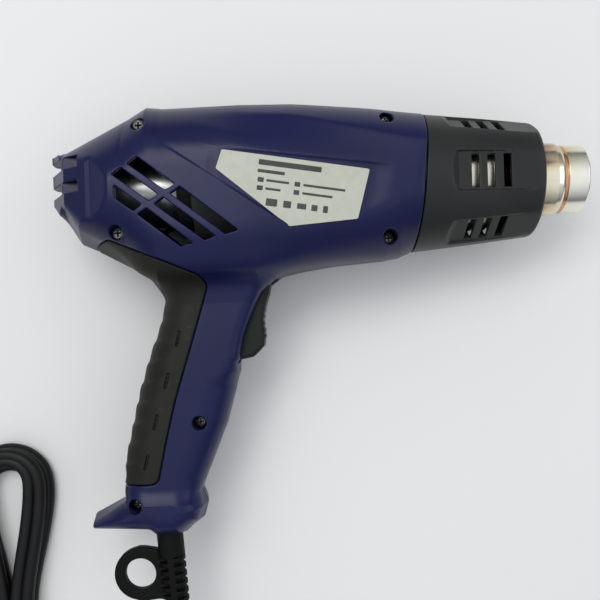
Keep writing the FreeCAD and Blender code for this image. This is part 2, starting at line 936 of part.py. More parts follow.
def trigger():
    """A curved lever with an ear at its top end for the pin."""
    lever = extruded(
        "lever",
        TRIGGER_OUTLINE,
        -d.trigger_half,
        d.trigger_half,
    )
    ear = rod("trigger_ear", "z", d.pivot_x, d.pivot_y, -d.trigger_half, d.ear_radius, d.trigger_half * 2)
    hole = rod("trigger_bore", "z", d.pivot_x, d.pivot_y, -far, d.pin_bore, far * 2)
    return cut("trigger_lever", fuse("trigger_blank", lever, ear), hole)


node("trigger", trigger())
node("trigger_pin", rod("pin", "z", d.pivot_x, d.pivot_y, -d.pin_half, d.pin_radius, d.pin_half * 2))

switch_box = box(
    "switch_box",
    d.switch_rear_x,
    d.switch_front_x,
    d.switch_bottom_y,
    d.switch_top_y,
    -d.switch_half,
    d.switch_half,
)


def plunger_box(name, x0, x1, gap):
    high, wide = d.plunger_high / 2 + gap, d.plunger_wide / 2 + gap
    return box(name, x0, x1, d.plunger_y - high, d.plunger_y + high, -wide, wide)


well = plunger_box("plunger_well", d.plunger_well_x, d.switch_front_x + 1, d.plunger_gap)
node("switch_body", cut("switch_case", switch_box, well))
node("switch_plunger", plunger_box("plunger", d.plunger_rear_x, d.plunger_tip_x, 0))

# ---------------------------------------------------------------- electrics

board_top = d.board_y + d.board_thick
node(
    "circuit_board",
    box("board", d.board_rear_x, d.board_front_x, d.board_y, board_top, -d.board_half, d.board_half),
)
diodes = [
    rod(
        f"diode_{i}",
        "z",
        d.board_rear_x + 6 + d.diode_pitch * i,
        board_top + d.diode_radius,
        -d.diode_length / 2,
        d.diode_radius,
        d.diode_length,
    )
    for i in range(4)
]
node("rectifier_diodes", group("diode_set", *diodes))
capacitor_x = d.board_front_x - 3
node(
    "capacitor",
    box(
        "filter_capacitor",
        capacitor_x - d.capacitor_long / 2,
        capacitor_x,
        board_top,
        board_top + d.capacitor_high,
        -d.capacitor_wide / 2,
        d.capacitor_wide / 2,
    ),
)
node(
    "terminal_block",
    box(
        "block",
        d.block_rear_x,
        d.block_front_x,
        d.block_bottom_y,
        d.block_top_y,
        -d.block_half,
        d.block_half,
    ),
)


def lead_pair(name, x, y0, y1, offset):
    """Two straight insulated wires, one each side of the parting plane."""
    return [
        rod(f"{name}_{i}", "y", x, y0, side, d.lead_radius, size(y1) - y0)
        for i, side in enumerate((offset, -offset))
    ]


def bent_leads(name, route):
    """Two mirrored wires along a route in the gun's frame, bent with arcs."""
    return [
        cable(f"{name}_{i}", [Vector(x, y, z * side) for x, y, z in route], d.lead_radius.value)
        for i, side in enumerate((1, -1))
    ]


MOTOR_ROUTE = [
    (76.0, -37.2, 8.0),
    (64.0, -37.0, 9.0),
    (50.0, -34.5, 12.0),
    (38.0, -30.8, 13.0),
    (27.5, -24.0, 11.0),
    (20.0, -14.0, 3.0),
]
HEATER_ROUTE = [
    (108.0, -37.2, 8.0),
    (122.0, -36.5, 8.0),
    (142.0, -31.0, 8.0),
    (160.0, -25.0, 6.5),
    (172.5, -22.0, 5.0),
]
board_leads = lead_pair("board_lead", d.board_rear_x + 2, d.switch_top_y, d.board_y, d.lead_offset)
supply_leads = lead_pair("supply_lead", d.lead_x, d.block_top_y, d.switch_bottom_y, d.lead_offset)
cord_cores = lead_pair("cord_core", d.core_x, d.core_bottom_y, d.block_bottom_y, d.core_offset)
node("switch_leads", group("switch_lead_set", *board_leads, *supply_leads, *cord_cores))
node("motor_leads", group("motor_lead_set", *bent_leads("motor_lead", MOTOR_ROUTE)))
node("heater_leads", group("heater_lead_set", *bent_leads("heater_lead", HEATER_ROUTE)))

# ---------------------------------------------------------------- strain relief and cord clamp

relief_tilt = math.radians(d.relief_tilt.value)
relief_down = Vector(math.sin(relief_tilt), -math.cos(relief_tilt), 0)
relief_root = Vector(d.relief_x.value, d.boss_end_y.value, 0)


def along_relief(name, profile):
    """A body turned about the strain relief's axis, from (distance below the base, radius) points."""
    body = turned(name, profile)
    body.Placement = Placement(relief_root, Rotation(Vector(1, 0, 0), relief_down))
    return body


def strain_relief():
    """A tapered rubber boot with a flange inside the base and a flat hanging ring at its side."""
    boot = along_relief(
        "boot",
        [
            (-d.relief_flange_end, d.cord_radius),
            (d.relief_length, d.cord_radius),
            (d.relief_length, d.relief_tip_radius),
            (d.relief_taper, d.relief_radius),
            (-d.relief_flange_start, d.relief_radius),
            (-d.relief_flange_start, d.relief_flange_radius),
            (-d.relief_flange_end, d.relief_flange_radius),
        ],
    )
    core_profile = tube_profile(-d.relief_flange_end - 1, d.relief_length + 1, 0, d.cord_radius)
    core = along_relief("boot_core", core_profile)
    half = d.ring_thick / 2
    ring = rod("ring_disc", "z", d.ring_x, d.ring_y, -half, d.ring_radius, d.ring_thick)
    web = box(
        "ring_web", d.ring_x, d.relief_x, d.ring_y - d.ring_radius, d.ring_y + d.ring_radius, -half, half
    )
    bore = rod("ring_bore_way", "z", d.ring_x, d.ring_y, -half - 1, d.ring_bore, d.ring_thick + 2)
    return fuse("relief", boot, cut("ring", fuse("ring_blank", ring, web), core, bore))


node("strain_relief", strain_relief())
sheath = along_relief("sheath", tube_profile(-d.sheath_inside, d.relief_length, 0, d.cord_radius))
node("inner_cord", group("inner_cord_end", sheath))

clamp_x0 = d.relief_x - 2 - d.clamp_long / 2
clamp_low = d.cord_radius
clamp = box(
    "clamp_bar",
    clamp_x0,
    clamp_x0 + d.clamp_long,
    d.clamp_y - d.clamp_high / 2,
    d.clamp_y + d.clamp_high / 2,
    clamp_low,
    clamp_low + d.clamp_thick,
)
clamp_screw_ways = []
clamp_screws = []
clamp_screw_inset = d.clamp_screw_inset
for i, x in enumerate((clamp_x0 + clamp_screw_inset, clamp_x0 + d.clamp_long - clamp_screw_inset)):
    clamp_screw_ways.append(rod(f"clamp_way_{i}", "z", x, d.clamp_y, 0, d.screw_radius, 20))
    shank = rod(
        f"clamp_shank_{i}",
        "z",
        x,
        d.clamp_y,
        clamp_low - d.clamp_screw_reach,
        d.screw_radius,
        d.clamp_screw_reach + d.clamp_thick,
    )
    cap = rod(f"clamp_head_{i}", "z", x, d.clamp_y, clamp_low + d.clamp_thick, d.screw_head_radius, 2)
    clamp_screws.append(fuse(f"clamp_screw_{i}", shank, cap))
node("cord_clamp", cut("clamp", clamp, *clamp_screw_ways))
node("clamp_screws", group("clamp_screw_set", *clamp_screws))

# ---------------------------------------------------------------- power cord, hank and plug

table = -d.side_half.value
lying = table + d.cord_radius.value
relief_end = relief_root + relief_down * d.relief_length.value

# from the strain relief down to the table and round to the lower end of the hank
CORD_ROUTE = [
    relief_end,
    Vector(59.2, -246.0, 0.0),
    Vector(61.8, -265.2, -4.4),
    Vector(63.9, -284.0, -13.2),
    Vector(63.9, -303.8, -23.2),
    Vector(59.0, -323.6, -31.2),
    Vector(45.8, -340.0, lying),
    Vector(26.0, -348.6, lying),
    Vector(4.6, -346.8, lying),
    Vector(-12.6, -334.0, lying),
    Vector(-20.8, -314.5, lying),
]
# from the hank's waist to the plug
TAIL_ROUTE = [
    Vector(-50.0, -223.0, lying + 6.0),
    Vector(-55.5, -238.5, lying + 4.0),
    Vector(-65.5, -252.5, lying + 1.5),
    Vector(-75.0, -267.0, lying + 2.0),
    Vector(-81.0, -283.0, table + d.plug_high.value / 2),
]
node("power_cord", group("cord_run", cable("cord_run_tube", CORD_ROUTE, d.cord_radius.value)))
node("cord_tail", group("cord_tail_end", cable("cord_tail_tube", TAIL_ROUTE, d.cord_radius.value)))

hank_left, hank_right = d.hank_x - d.hank_half, d.hank_x + d.hank_half
waist_left, waist_right = d.hank_x - d.hank_waist, d.hank_x + d.hank_waist
waist_y = (d.hank_top_y + d.hank_bottom_y) / 2
hank_outline = [
    (hank_left, d.hank_bottom_y, d.hank_round),
    (hank_right, d.hank_bottom_y, d.hank_round),
    (hank_right, d.hank_bottom_y + d.hank_shoulder),
    (waist_right, waist_y),
    (hank_right, d.hank_top_y - d.hank_shoulder),
    (hank_right, d.hank_top_y, d.hank_round),
    (hank_left, d.hank_top_y, d.hank_round),
    (hank_left, d.hank_top_y - d.hank_shoulder),
    (waist_left, waist_y),
    (hank_left, d.hank_bottom_y + d.hank_shoulder),
]
table_z = -d.side_half
node("cord_hank", extruded("hank", hank_outline, table_z, table_z + d.hank_high))

tie_half_x = d.hank_waist + d.tie_spare
tie_outer = box(
    "tie_outer",
    d.hank_x - tie_half_x,
    d.hank_x + tie_half_x,
    waist_y - d.tie_width / 2,
    waist_y + d.tie_width / 2,
    table_z,
    table_z + d.hank_high + d.tie_thick,
)
tie_inner = box(
    "tie_inner",
    d.hank_x - tie_half_x + d.tie_thick,
    d.hank_x + tie_half_x - d.tie_thick,
    waist_y - d.tie_width,
    waist_y + d.tie_width,
    table_z - 1,
    table_z + d.hank_high,
)
node("cord_tie", cut("tie", tie_outer, tie_inner))


def plug():
    """A flat moulded two-pin plug, drawn along X from its cord end, and its pins."""
    low, high = table_z, table_z + d.plug_high
    moulding = extruded(
        "plug_moulding",
        [
            (0, -5.5, 2.0),
            (d.plug_nose, -8.0, 6.0),
            (d.plug_nose + 9, -d.plug_half, 6.0),
            (d.plug_long, -d.plug_half, 4.0),
            (d.plug_long, d.plug_half, 4.0),
            (d.plug_nose + 9, d.plug_half, 6.0),
            (d.plug_nose, 8.0, 6.0),
            (0, 5.5, 2.0),
        ],
        low,
        high,
    )
    pins = [
        rod(
            f"plug_pin_{i}",
            "x",
            d.plug_long,
            side,
            (low + high) / 2,
            d.plug_pin_radius,
            d.plug_pin_length,
        )
        for i, side in enumerate((-d.plug_pin_spacing / 2, d.plug_pin_spacing / 2))
    ]
    pieces = []
    for name, solids in (("plug_body", [moulding]), ("plug_pins", pins)):
        piece = group(f"{name}_turned", *solids)
        turn = Rotation(Vector(0, 0, 1), d.plug_turn.value)
        piece.Placement = Placement(Vector(TAIL_ROUTE[-1].x, TAIL_ROUTE[-1].y, 0), turn)
        pieces.append(piece)
    return pieces


plug_body, plug_pins = plug()
node("plug_body", group("plug_body_piece", plug_body))
node("plug_pins", group("plug_pin_pair", plug_pins))

# ---------------------------------------------------------------- the gun's outer form


def gun_form(name, inset):
    """The solid form of the housing, with every outside face moved in by inset."""
    inset = size(inset)
    profile = doc.addObject("Sketcher::SketchObject", f"{name}_side")
    draw_outline(
        profile,
        [
            (d.rear_wall_x, d.rear_top_y),
            (d.shoulder_x, d.barrel_top_y, d.shoulder_round),
            (d.top_mid_x, d.top_mid_y),
            (d.top_front_x, d.top_front_y),
            (d.seam_top_x, d.seam_top_y),
            (d.seam_bottom_x, d.seam_bottom_y),
            (d.belly_front_x, d.belly_front_y),
            (d.belly_rear_x, d.belly_rear_y),
            (d.neck_rear_x, d.neck_rear_y),
            (d.tail_low_x, d.tail_low_y, d.tail_round),
            (d.tail_mid_x, d.tail_mid_y),
            (d.rear_wall_x, d.rear_bottom_y),
        ],
    )
    outline = profile
    if inset.value > 0:
        outline = doc.addObject("Part::Offset2D", f"{name}_side_inset")
        outline.Source = profile
        outline.Join = "Intersection"
        bind(outline, Value=-inset)
    slab = doc.addObject("Part::Extrusion", f"{name}_slab")
    slab.Base = outline
    slab.Solid = True
    slab.Symmetric = True
    slab.DirMode = "Custom"
    slab.Dir = Vector(0, 0, 1)
    bind(slab, LengthFwd=(d.side_half - inset) * 2)

    plan = new_body(f"{name}_plan")
    sketch = new_sketch(plan, f"{name}_plan_outline", "XZ_Plane")
    rear, middle, front = d.rear_half - inset, d.side_half - inset, d.front_half - inset
    length = d.seam_top_x + d.wall
    draw_outline(
        sketch,
        [
            (d.fin_tip_x, rear),
            (d.panel_rear_x, middle),
            (d.panel_front_x, middle),
            (length, front),
            (length, -front),
            (d.panel_front_x, -middle),
            (d.panel_rear_x, -middle),
            (d.fin_tip_x, -rear),
        ],
    )
    pad(plan, f"{name}_plan_pad", sketch, d.barrel_top_y * 3, midplane=True)

    envelope = turned(
        f"{name}_envelope",
        [
            (d.fin_tip_x, 0),
            (d.fin_tip_x, d.envelope_rear - inset),
            (d.envelope_mid_x, d.envelope_mid - inset),
            (d.envelope_front_x, d.envelope_front - inset),
            (d.seam_top_x, d.barrel_end - inset),
            (length, d.barrel_end - inset),
            (length, 0),
        ],
    )
    barrel = common(f"{name}_barrel", slab, plan, envelope)

    handle = new_body(f"{name}_handle")
    corner = d.handle_corner - inset
    sections = [
        (d.handle_root_y, d.handle_root_back, d.handle_root_front, d.handle_root_half),
        (d.handle_neck_y, d.handle_neck_back, d.handle_neck_front, d.handle_neck_half),
        (d.handle_web_y, d.handle_web_back, d.handle_web_front, d.handle_half),
        (d.handle_finger_y, d.handle_finger_back, d.handle_finger_front, d.handle_half),
        (d.handle_palm_y, d.handle_palm_back, d.handle_palm_front, d.handle_half),
        (d.handle_low_y, d.handle_low_back, d.handle_low_front, d.handle_half),
    ]
    loft_sections(handle, sections, inset, corner)

    base = new_body(f"{name}_base")
    base_corner = d.base_corner - inset
    sections = [
        (d.handle_low_y, d.handle_low_back, d.handle_low_front, d.handle_half),
        (d.base_flare_y, d.base_flare_back, d.base_flare_front, d.base_half),
        (d.base_toe_y, d.base_toe_back, d.base_toe_front, d.base_half),
        (d.base_under_y + inset, d.base_under_back, d.base_under_front, d.base_under_half),
    ]
    loft_sections(base, sections, inset, base_corner)
    return fuse(name, barrel, handle, base)


def loft_sections(body, sections, inset, corner):
    """A loft through rounded rectangles, each given by its height, back, front and half depth."""
    sketches = []
    for number, (height, back, front, half) in enumerate(sections):
        sketch = new_sketch(body, f"{body.Name}_section_{number}", "XZ_Plane", -height)
        x0, x1, z = back + inset, front - inset, half - inset
        draw_outline(sketch, [(x0, -z, corner), (x1, -z, corner), (x1, z, corner), (x0, z, corner)])
        sketches.append(sketch)
    loft = body.newObject("PartDesign::AdditiveLoft", f"{body.Name}_loft")
    loft.Profile = sketches[0]
    loft.Sections = sketches[1:]
    loft.Ruled = True
    return loft


outer_form = gun_form("outer_form", 0)
under_grip_form = gun_form("under_grip_form", d.grip_skin)
cavity_form = gun_form("cavity_form", d.wall)
doc.recompute()

# ---------------------------------------------------------------- housing halves and rubber grips

SCREWS = [
    (d.screw_1_x, d.screw_1_y, d.barrel_screw_z),
    (d.screw_2_x, d.screw_2_y, d.barrel_screw_z),
    (d.screw_3_x, d.screw_3_y, d.barrel_screw_z - 8),
    (d.screw_4_x, d.screw_4_y, d.barrel_screw_z - 8),
    (d.screw_5_x, d.screw_5_y, d.handle_screw_z),
    (d.screw_6_x, d.screw_6_y, d.handle_screw_z),
]

# each vent: the upper rear corner of its slot, and its length
VENTS = [
    (49.0, 9.0, 18.0),
    (68.5, -6.0, 28.0),
    (41.8, 4.0, 18.0),
    (60.8, -10.5, 26.0),
    (41.0, -4.5, 11.0),
    (53.0, -14.5, 22.0),
]

fins = []
for number in range(3):
    low = d.fin_low_y + d.fin_pitch * number
    fins.append(
        box(f"fin_{number}", d.fin_tip_x, d.fin_length, low, low + d.fin_height, -d.fin_half, d.fin_half)
    )
base_boss = rod(
    "base_boss", "y", d.relief_x, d.boss_end_y, 0, d.boss_radius, d.base_under_y - d.boss_end_y + d.wall
)
screw_bosses = [
    rod(f"screw_boss_{i}", "z", x, y, -far, d.screw_boss_radius, far * 2)
    for i, (x, y, head) in enumerate(SCREWS)
]
pin_boss = rod("pin_boss", "z", d.pivot_x, d.pivot_y, -d.pin_half - 2, d.ear_radius, d.pin_half * 2 + 4)
bosses = common("inner_bosses", fuse("all_bosses", pin_boss, *screw_bosses), outer_form)
skin = cut("housing_skin", outer_form, cavity_form)
blank = fuse("housing_blank", skin, bosses, base_boss, *fins)


def vent_cutter(name, x, y, length, z0, z1):
    slot = box(name, 0, length, -d.vent_width, 0, z0, z1)
    slot.Placement.Rotation = Rotation(Vector(0, 0, 1), d.vent_slope.value)
    bind(slot, Placement__Base__x=x, Placement__Base__y=y)
    return slot


def grip_outline(name):
    """The rubber's outline on one side of the handle; its back edge lies outside the handle."""
    return extruded(
        name,
        [
            (d.grip_top_x, d.grip_top_y, d.grip_round),
            (d.tail_low_x - 12, d.grip_top_y - 18),
            (d.tail_low_x - 12, d.grip_end_y),
            (d.grip_low_x - 3, d.grip_end_y, d.grip_round),
            (d.grip_low_x, d.grip_low_y),
            (d.grip_mid_x, d.grip_mid_y),
            (d.grip_nose_x, d.grip_nose_y, d.grip_round),
            (d.grip_bend_x, d.grip_bend_y, d.grip_round / 2),
        ],
        -far,
        far,
    )


grip_skin = common("grip_shell", cut("grip_layer", outer_form, under_grip_form), grip_outline("grip_region"))
trigger_slot = box(
    "trigger_slot",
    d.slot_back_x,
    d.slot_front_x,
    d.slot_bottom_y,
    d.slot_top_y,
    -d.slot_half,
    d.slot_half,
)
guard_bore = rod("guard_bore", "x", d.guard_rear_x - 12, 0, 0, d.guard_bore_radius, 40)
relief_way = rod(
    "relief_way", "y", d.relief_x, d.boss_end_y - 1, 0, d.relief_hole, d.base_under_y - d.boss_end_y + 12
)
pin_way = rod("pin_way", "z", d.pivot_x, d.pivot_y, -d.pin_half, d.pin_radius, d.pin_half * 2)
label_outline = [(89.9, 11.6), (157.5, 1.0), (151.3, -21.7), (119.7, -24.3), (86.9, 3.0)]
label_low = d.label_top - d.label_thick
right_side = box("right_side", -20, 300, -260, 80, 0, far)
left_side = box("left_side", -20, 300, -260, 80, -far, 0)
both_sides = [grip_skin, trigger_slot, guard_bore, relief_way, pin_way]
panel_turn = Rotation(Vector(0, 1, 0), d.panel_slope.value)
label_recess = extruded("label_recess", label_outline, label_low, far)
label_recess.Placement = Placement(Vector(), panel_turn)
right_only = [label_recess]
left_only = []
for i, vent in enumerate(VENTS):
    right_only.append(vent_cutter(f"right_vent_{i}", *vent, d.vent_low, far))
    left_only.append(vent_cutter(f"left_vent_{i}", *vent, -far, -d.vent_low))
for i, (x, y, head) in enumerate(SCREWS):
    right_only.append(rod(f"counterbore_{i}", "z", x, y, head, d.counterbore_radius, far))
    right_only.append(rod(f"screw_way_{i}", "z", x, y, 0, d.screw_radius, head))
    left_only.append(rod(f"pilot_{i}", "z", x, y, d.screw_tip_z, d.screw_radius, -d.screw_tip_z))


def housing_half(name, side, tools):
    """One housing half: its side of the blank, with every opening cut."""
    return cut(name, common(f"{name}_blank", blank, side), *tools)


node("housing_right", housing_half("right_half", right_side, both_sides + right_only))
node("housing_left", housing_half("left_half", left_side, both_sides + left_only))
node("grip_right", common("right_grip", grip_skin, right_side))
node("grip_left", common("left_grip", grip_skin, left_side))

label_sheet = extruded("label_sheet", label_outline, label_low, d.label_top)
label_sheet.Placement = Placement(Vector(), panel_turn)
node("rating_label", label_sheet)

screws = []
for i, (x, y, head) in enumerate(SCREWS):
    shank = rod(f"screw_shank_{i}", "z", x, y, d.screw_tip_z, d.screw_radius, head - d.screw_tip_z)
    cap = rod(f"screw_head_{i}", "z", x, y, head, d.screw_head_radius, d.screw_head_height)
    screws.append(fuse(f"screw_{i}", shank, cap))
node("housing_screws", group("housing_screw_set", *screws))

# ---------------------------------------------------------------- checks and files

doc.recompute()
for item in doc.Objects:
    if "Invalid" in item.State or "Error" in item.State:
        raise RuntimeError(f"{item.Name} ({item.Label}) failed: {item.State}")
for name, item in nodes.items():
    shape = item.Shape
    if shape.isNull() or not shape.isValid() or not shape.Solids:
        raise RuntimeError(f"{name} has no valid solid")

os.makedirs("parts", exist_ok=True)
for name, item in nodes.items():
    item.Shape.exportStep(f"parts/{name}.step")
    low = item.Shape.optimalBoundingBox(False)
    corners = [round(v, 1) for v in (low.XMin, low.YMin, low.ZMin, low.XMax, low.YMax, low.ZMax)]
    print(name, len(item.Shape.Solids), "solids", round(item.Shape.Volume), "mm3", corners)
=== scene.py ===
import json
import math

import bpy
import numpy as np
import openvdb
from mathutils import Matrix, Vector

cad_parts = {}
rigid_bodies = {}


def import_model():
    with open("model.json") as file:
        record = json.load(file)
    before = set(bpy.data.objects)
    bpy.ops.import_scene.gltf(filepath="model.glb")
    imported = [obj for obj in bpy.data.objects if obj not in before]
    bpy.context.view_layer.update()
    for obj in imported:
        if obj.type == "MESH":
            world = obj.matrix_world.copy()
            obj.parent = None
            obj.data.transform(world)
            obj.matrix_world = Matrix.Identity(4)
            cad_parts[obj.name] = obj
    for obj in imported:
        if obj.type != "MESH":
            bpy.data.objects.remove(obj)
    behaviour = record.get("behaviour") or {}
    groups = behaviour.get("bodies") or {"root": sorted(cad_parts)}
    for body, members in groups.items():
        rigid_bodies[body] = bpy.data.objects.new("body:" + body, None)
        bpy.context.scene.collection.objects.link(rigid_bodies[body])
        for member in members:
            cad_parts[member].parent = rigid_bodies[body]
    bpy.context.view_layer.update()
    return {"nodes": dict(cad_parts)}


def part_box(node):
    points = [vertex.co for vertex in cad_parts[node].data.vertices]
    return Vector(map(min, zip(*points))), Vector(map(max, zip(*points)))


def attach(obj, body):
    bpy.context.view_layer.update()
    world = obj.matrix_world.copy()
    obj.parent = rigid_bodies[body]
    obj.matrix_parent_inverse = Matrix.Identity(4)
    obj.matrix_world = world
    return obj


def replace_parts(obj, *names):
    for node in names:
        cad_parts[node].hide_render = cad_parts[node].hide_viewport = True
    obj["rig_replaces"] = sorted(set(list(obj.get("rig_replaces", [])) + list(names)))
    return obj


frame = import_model()

# Lengths are in millimetres in the gun's own frame: x along the barrel from the tips of the rear fins,
# y up from the barrel's axis, z out of the gun's right side from the parting plane.
MM = 0.001
NOZZLE_TIP = 266.8
CORD_RADIUS = 3.5
nozzle_low, nozzle_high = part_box("nozzle")
ORIGIN = np.array(
    [
        nozzle_high.x - NOZZLE_TIP * MM,
        (nozzle_low.y + nozzle_high.y) / 2,
        (nozzle_low.z + nozzle_high.z) / 2,
    ]
)
TABLE = -ORIGIN[2] / MM
LYING = TABLE + CORD_RADIUS


def place(points):
    """Points from millimetres in the gun's frame to metres in the part's frame."""
    return np.asarray(points, float) * MM + ORIGIN


# ---- materials

class Nodes:
    """A material's node tree, with short calls for the nodes that these materials use."""

    def __init__(self, name):
        self.material = bpy.data.materials.new(name)
        self.material.use_nodes = True
        self.tree = self.material.node_tree
        self.shader = self.tree.nodes["Principled BSDF"]
        self.coords = self.tree.nodes.new("ShaderNodeTexCoord").outputs["Object"]

    def node(self, kind, **inputs):
        made = self.tree.nodes.new(f"ShaderNode{kind}")
        for name, value in inputs.items():
            self.feed(made.inputs[name.replace("_", " ")], value)
        return made

    def feed(self, socket, value):
        if isinstance(value, bpy.types.NodeSocket):
            self.tree.links.new(value, socket)
        else:
            socket.default_value = value

    def noise(self, scale, detail, stretch=(1, 1, 1)):
        """Noise from 0 to 1; scale is in features per metre, and stretch squeezes it along an axis."""
        mapped = self.node("Mapping", Vector=self.coords, Scale=stretch).outputs[0]
        return self.node("TexNoise", Vector=mapped, Scale=scale, Detail=detail).outputs["Fac"]

    def ramp(self, value, *stops):
        """Colours or numbers at given places of value, from 0 to 1."""
        made = self.node("ValToRGB", Fac=value)
        elements = made.color_ramp.elements
        for number, (at, colour) in enumerate(stops):
            element = elements[number] if number < 2 else elements.new(at)
            element.position = at
            element.color = (*colour, 1) if hasattr(colour, "__len__") else (colour, colour, colour, 1)
        return made.outputs["Color"]

    def math(self, operation, a, b):
        made = self.tree.nodes.new("ShaderNodeMath")
        made.operation = operation
        self.feed(made.inputs[0], a)
        self.feed(made.inputs[1], b)
        return made.outputs[0]

    def mix(self, factor, a, b, blend="MIX"):
        made = self.tree.nodes.new("ShaderNodeMix")
        made.data_type = "RGBA"
        made.blend_type = blend
        self.feed(made.inputs["Factor"], factor)
        for socket, colour in ((made.inputs[6], a), (made.inputs[7], b)):
            self.feed(socket, (*colour, 1) if isinstance(colour, tuple) else colour)
        return made.outputs[2]

    def bump(self, height, distance, strength):
        made = self.node("Bump", Height=height, Strength=strength, Distance=distance * MM)
        self.feed(self.shader.inputs["Normal"], made.outputs[0])

    def finish(self, colour, rough, metal=0.0, **inputs):
        self.feed(self.shader.inputs["Base Color"], colour)
        self.feed(self.shader.inputs["Roughness"], rough)
        self.feed(self.shader.inputs["Metallic"], metal)
        for name, value in inputs.items():
            self.feed(self.shader.inputs[name.replace("_", " ")], value)
        return self.material


def moulded(name, colour, rough, grain, wear, depth=0.03, vary=0.12, shine=0.25):
    """Moulded plastic or rubber: eroded grain, patchy gloss, uneven colour and edges rubbed to wear."""
    n = Nodes(name)
    patches = n.noise(28.0, 3.0)
    cloudy = n.ramp(patches, (0.3, 1 - vary), (0.7, 1 + vary))
    base = n.mix(1.0, colour, cloudy, "MULTIPLY")
    rubbed = n.ramp(n.node("NewGeometry").outputs["Pointiness"], (0.54, 0.0), (0.66, 0.5))
    spots = n.ramp(n.noise(260.0, 4.0), (0.45, 0.0), (0.62, 1.0))
    base = n.mix(n.math("MULTIPLY", rubbed, spots), base, wear)
    fine = n.noise(grain, 2.0)
    gloss = n.math("ADD", n.math("MULTIPLY", patches, 0.14), rough - 0.07)
    gloss = n.math("ADD", gloss, n.math("MULTIPLY", fine, 0.05))
    n.bump(fine, depth, 0.6)
    return n.finish(base, gloss, Specular_IOR_Level=shine)


STEEL_LINES = 0.01  # the depth of the drawn lines


def steel(name, colour, rough, stretch=(1, 1, 1), scale=900.0):
    """Sheet or turned metal with fine drawn lines along the axis that stretch squeezes least."""
    n = Nodes(name)
    lines = n.noise(scale, 3.0, stretch)
    stains = n.noise(60.0, 4.0)
    base = n.mix(n.ramp(stains, (0.35, 0.0), (0.75, 0.35)), colour, tuple(c * 0.72 for c in colour))
    gloss = n.math("ADD", n.math("MULTIPLY", lines, 0.16), rough - 0.06)
    n.bump(lines, STEEL_LINES, 0.5)
    return n.finish(base, gloss, 1.0)


def cord_rubber():
    """Black flexible cord jacket: satin, with a fine matt grain and a little dust."""
    dust = (0.03, 0.03, 0.03)
    return moulded("cord_rubber", (0.005, 0.005, 0.0055), 0.42, grain=2600.0, vary=0.25, wear=dust)


# ---- camera, light and floor

VIEW_CENTRE = (123.2, -58.3)
CAMERA_HEIGHT = 395.0
VIEW_TURN = -1.8
LENS = 42.0
# the camera is this much below the middle of the view, and its frame is shifted back
CAMERA_OFFSET = 10.0
SENSOR = 36.0
FLOOR_SIZE = 6.0  # metres
FLOOR_GAP = 0.0002


def add_camera():
    data = bpy.data.cameras.new("camera")
    data.lens = LENS
    data.sensor_width = SENSOR
    camera = bpy.data.objects.new("camera", data)
    bpy.context.scene.collection.objects.link(camera)
    camera.location = place((VIEW_CENTRE[0], VIEW_CENTRE[1] - CAMERA_OFFSET, TABLE + CAMERA_HEIGHT))
    data.shift_y = CAMERA_OFFSET / (CAMERA_HEIGHT + 2 * TABLE) * LENS / SENSOR
    camera.rotation_euler = (0, 0, math.radians(VIEW_TURN))
    bpy.context.scene.camera = camera


def add_light(name, size, power, at, colour):
    """A soft rectangular light turned to the middle of the view, from which its place is in metres."""
    data = bpy.data.lights.new(name, "AREA")
    data.shape = "RECTANGLE"
    data.size, data.size_y = size
    data.energy = power
    data.color = colour
    light = bpy.data.objects.new(name, data)
    bpy.context.scene.collection.objects.link(light)
    middle = Vector(place((*VIEW_CENTRE, TABLE)))
    light.location = middle + Vector(at)
    light.rotation_euler = (-Vector(at)).to_track_quat("-Z", "Y").to_euler()


# a dim room round a pale ceiling
HORIZON = (0.07, 0.075, 0.085)
ZENITH = (0.92, 0.95, 0.98)


def add_sky():
    world = bpy.data.worlds.new("studio")
    world.use_nodes = True
    tree = world.node_tree
    background = tree.nodes["Background"]
    direction = tree.nodes.new("ShaderNodeTexCoord").outputs["Generated"]
    height = tree.nodes.new("ShaderNodeSeparateXYZ")
    sky = tree.nodes.new("ShaderNodeValToRGB")
    tree.links.new(direction, height.inputs[0])
    tree.links.new(height.outputs["Z"], sky.inputs["Fac"])
    tree.links.new(sky.outputs["Color"], background.inputs["Color"])
    horizon, zenith = sky.color_ramp.elements
    horizon.color = (*HORIZON, 1)
    zenith.color = (*ZENITH, 1)
    bpy.context.scene.world = world


def add_floor():
    bpy.ops.mesh.primitive_plane_add(size=FLOOR_SIZE, location=(0, 0, -FLOOR_GAP))
    floor = bpy.context.object
    floor.name = "floor"
    n = Nodes("floor_paint")
    tone = n.ramp(n.noise(2.2, 3.0), (0.3, (0.77, 0.768, 0.762)), (0.7, (0.81, 0.808, 0.805)))
    floor.data.materials.append(n.finish(tone, 0.55))


def add_studio():
    add_sky()
    add_light("key", (1.1, 0.6), 8.6, (-0.4, 0.6, 1.4), (1, 0.985, 0.96))
    add_light("fill", (1.2, 0.9), 3.6, (1.3, 0.2, 0.9), (0.92, 0.96, 1))
    bpy.context.scene.view_settings.view_transform = "Standard"
    add_floor()


add_camera()
add_studio()

# ---- solid modelling

# A shape is a function of x, y and z arrays that gives a signed distance in millimetres, negative inside.
ARC_STEPS = 5
PROBE = 0.05  # the half size of the tetrahedron that finds a slope
LEAST_SLOPE_SQUARED = 0.04
LONGEST_MOVE = 0.8  # how far a point moves onto the surface at once, in grid steps
TINY = 1e-9


def soft_min(a, b, reach):
    share = np.clip(0.5 + 0.5 * (b - a) / reach, 0, 1)
    return b + (a - b) * share - reach * share * (1 - share)


def soft_max(a, b, reach):
    return -soft_min(-a, -b, reach)


def ease(low, high, value):
    share = np.clip((value - low) / (high - low), 0, 1)
    return share * share * (3 - 2 * share)


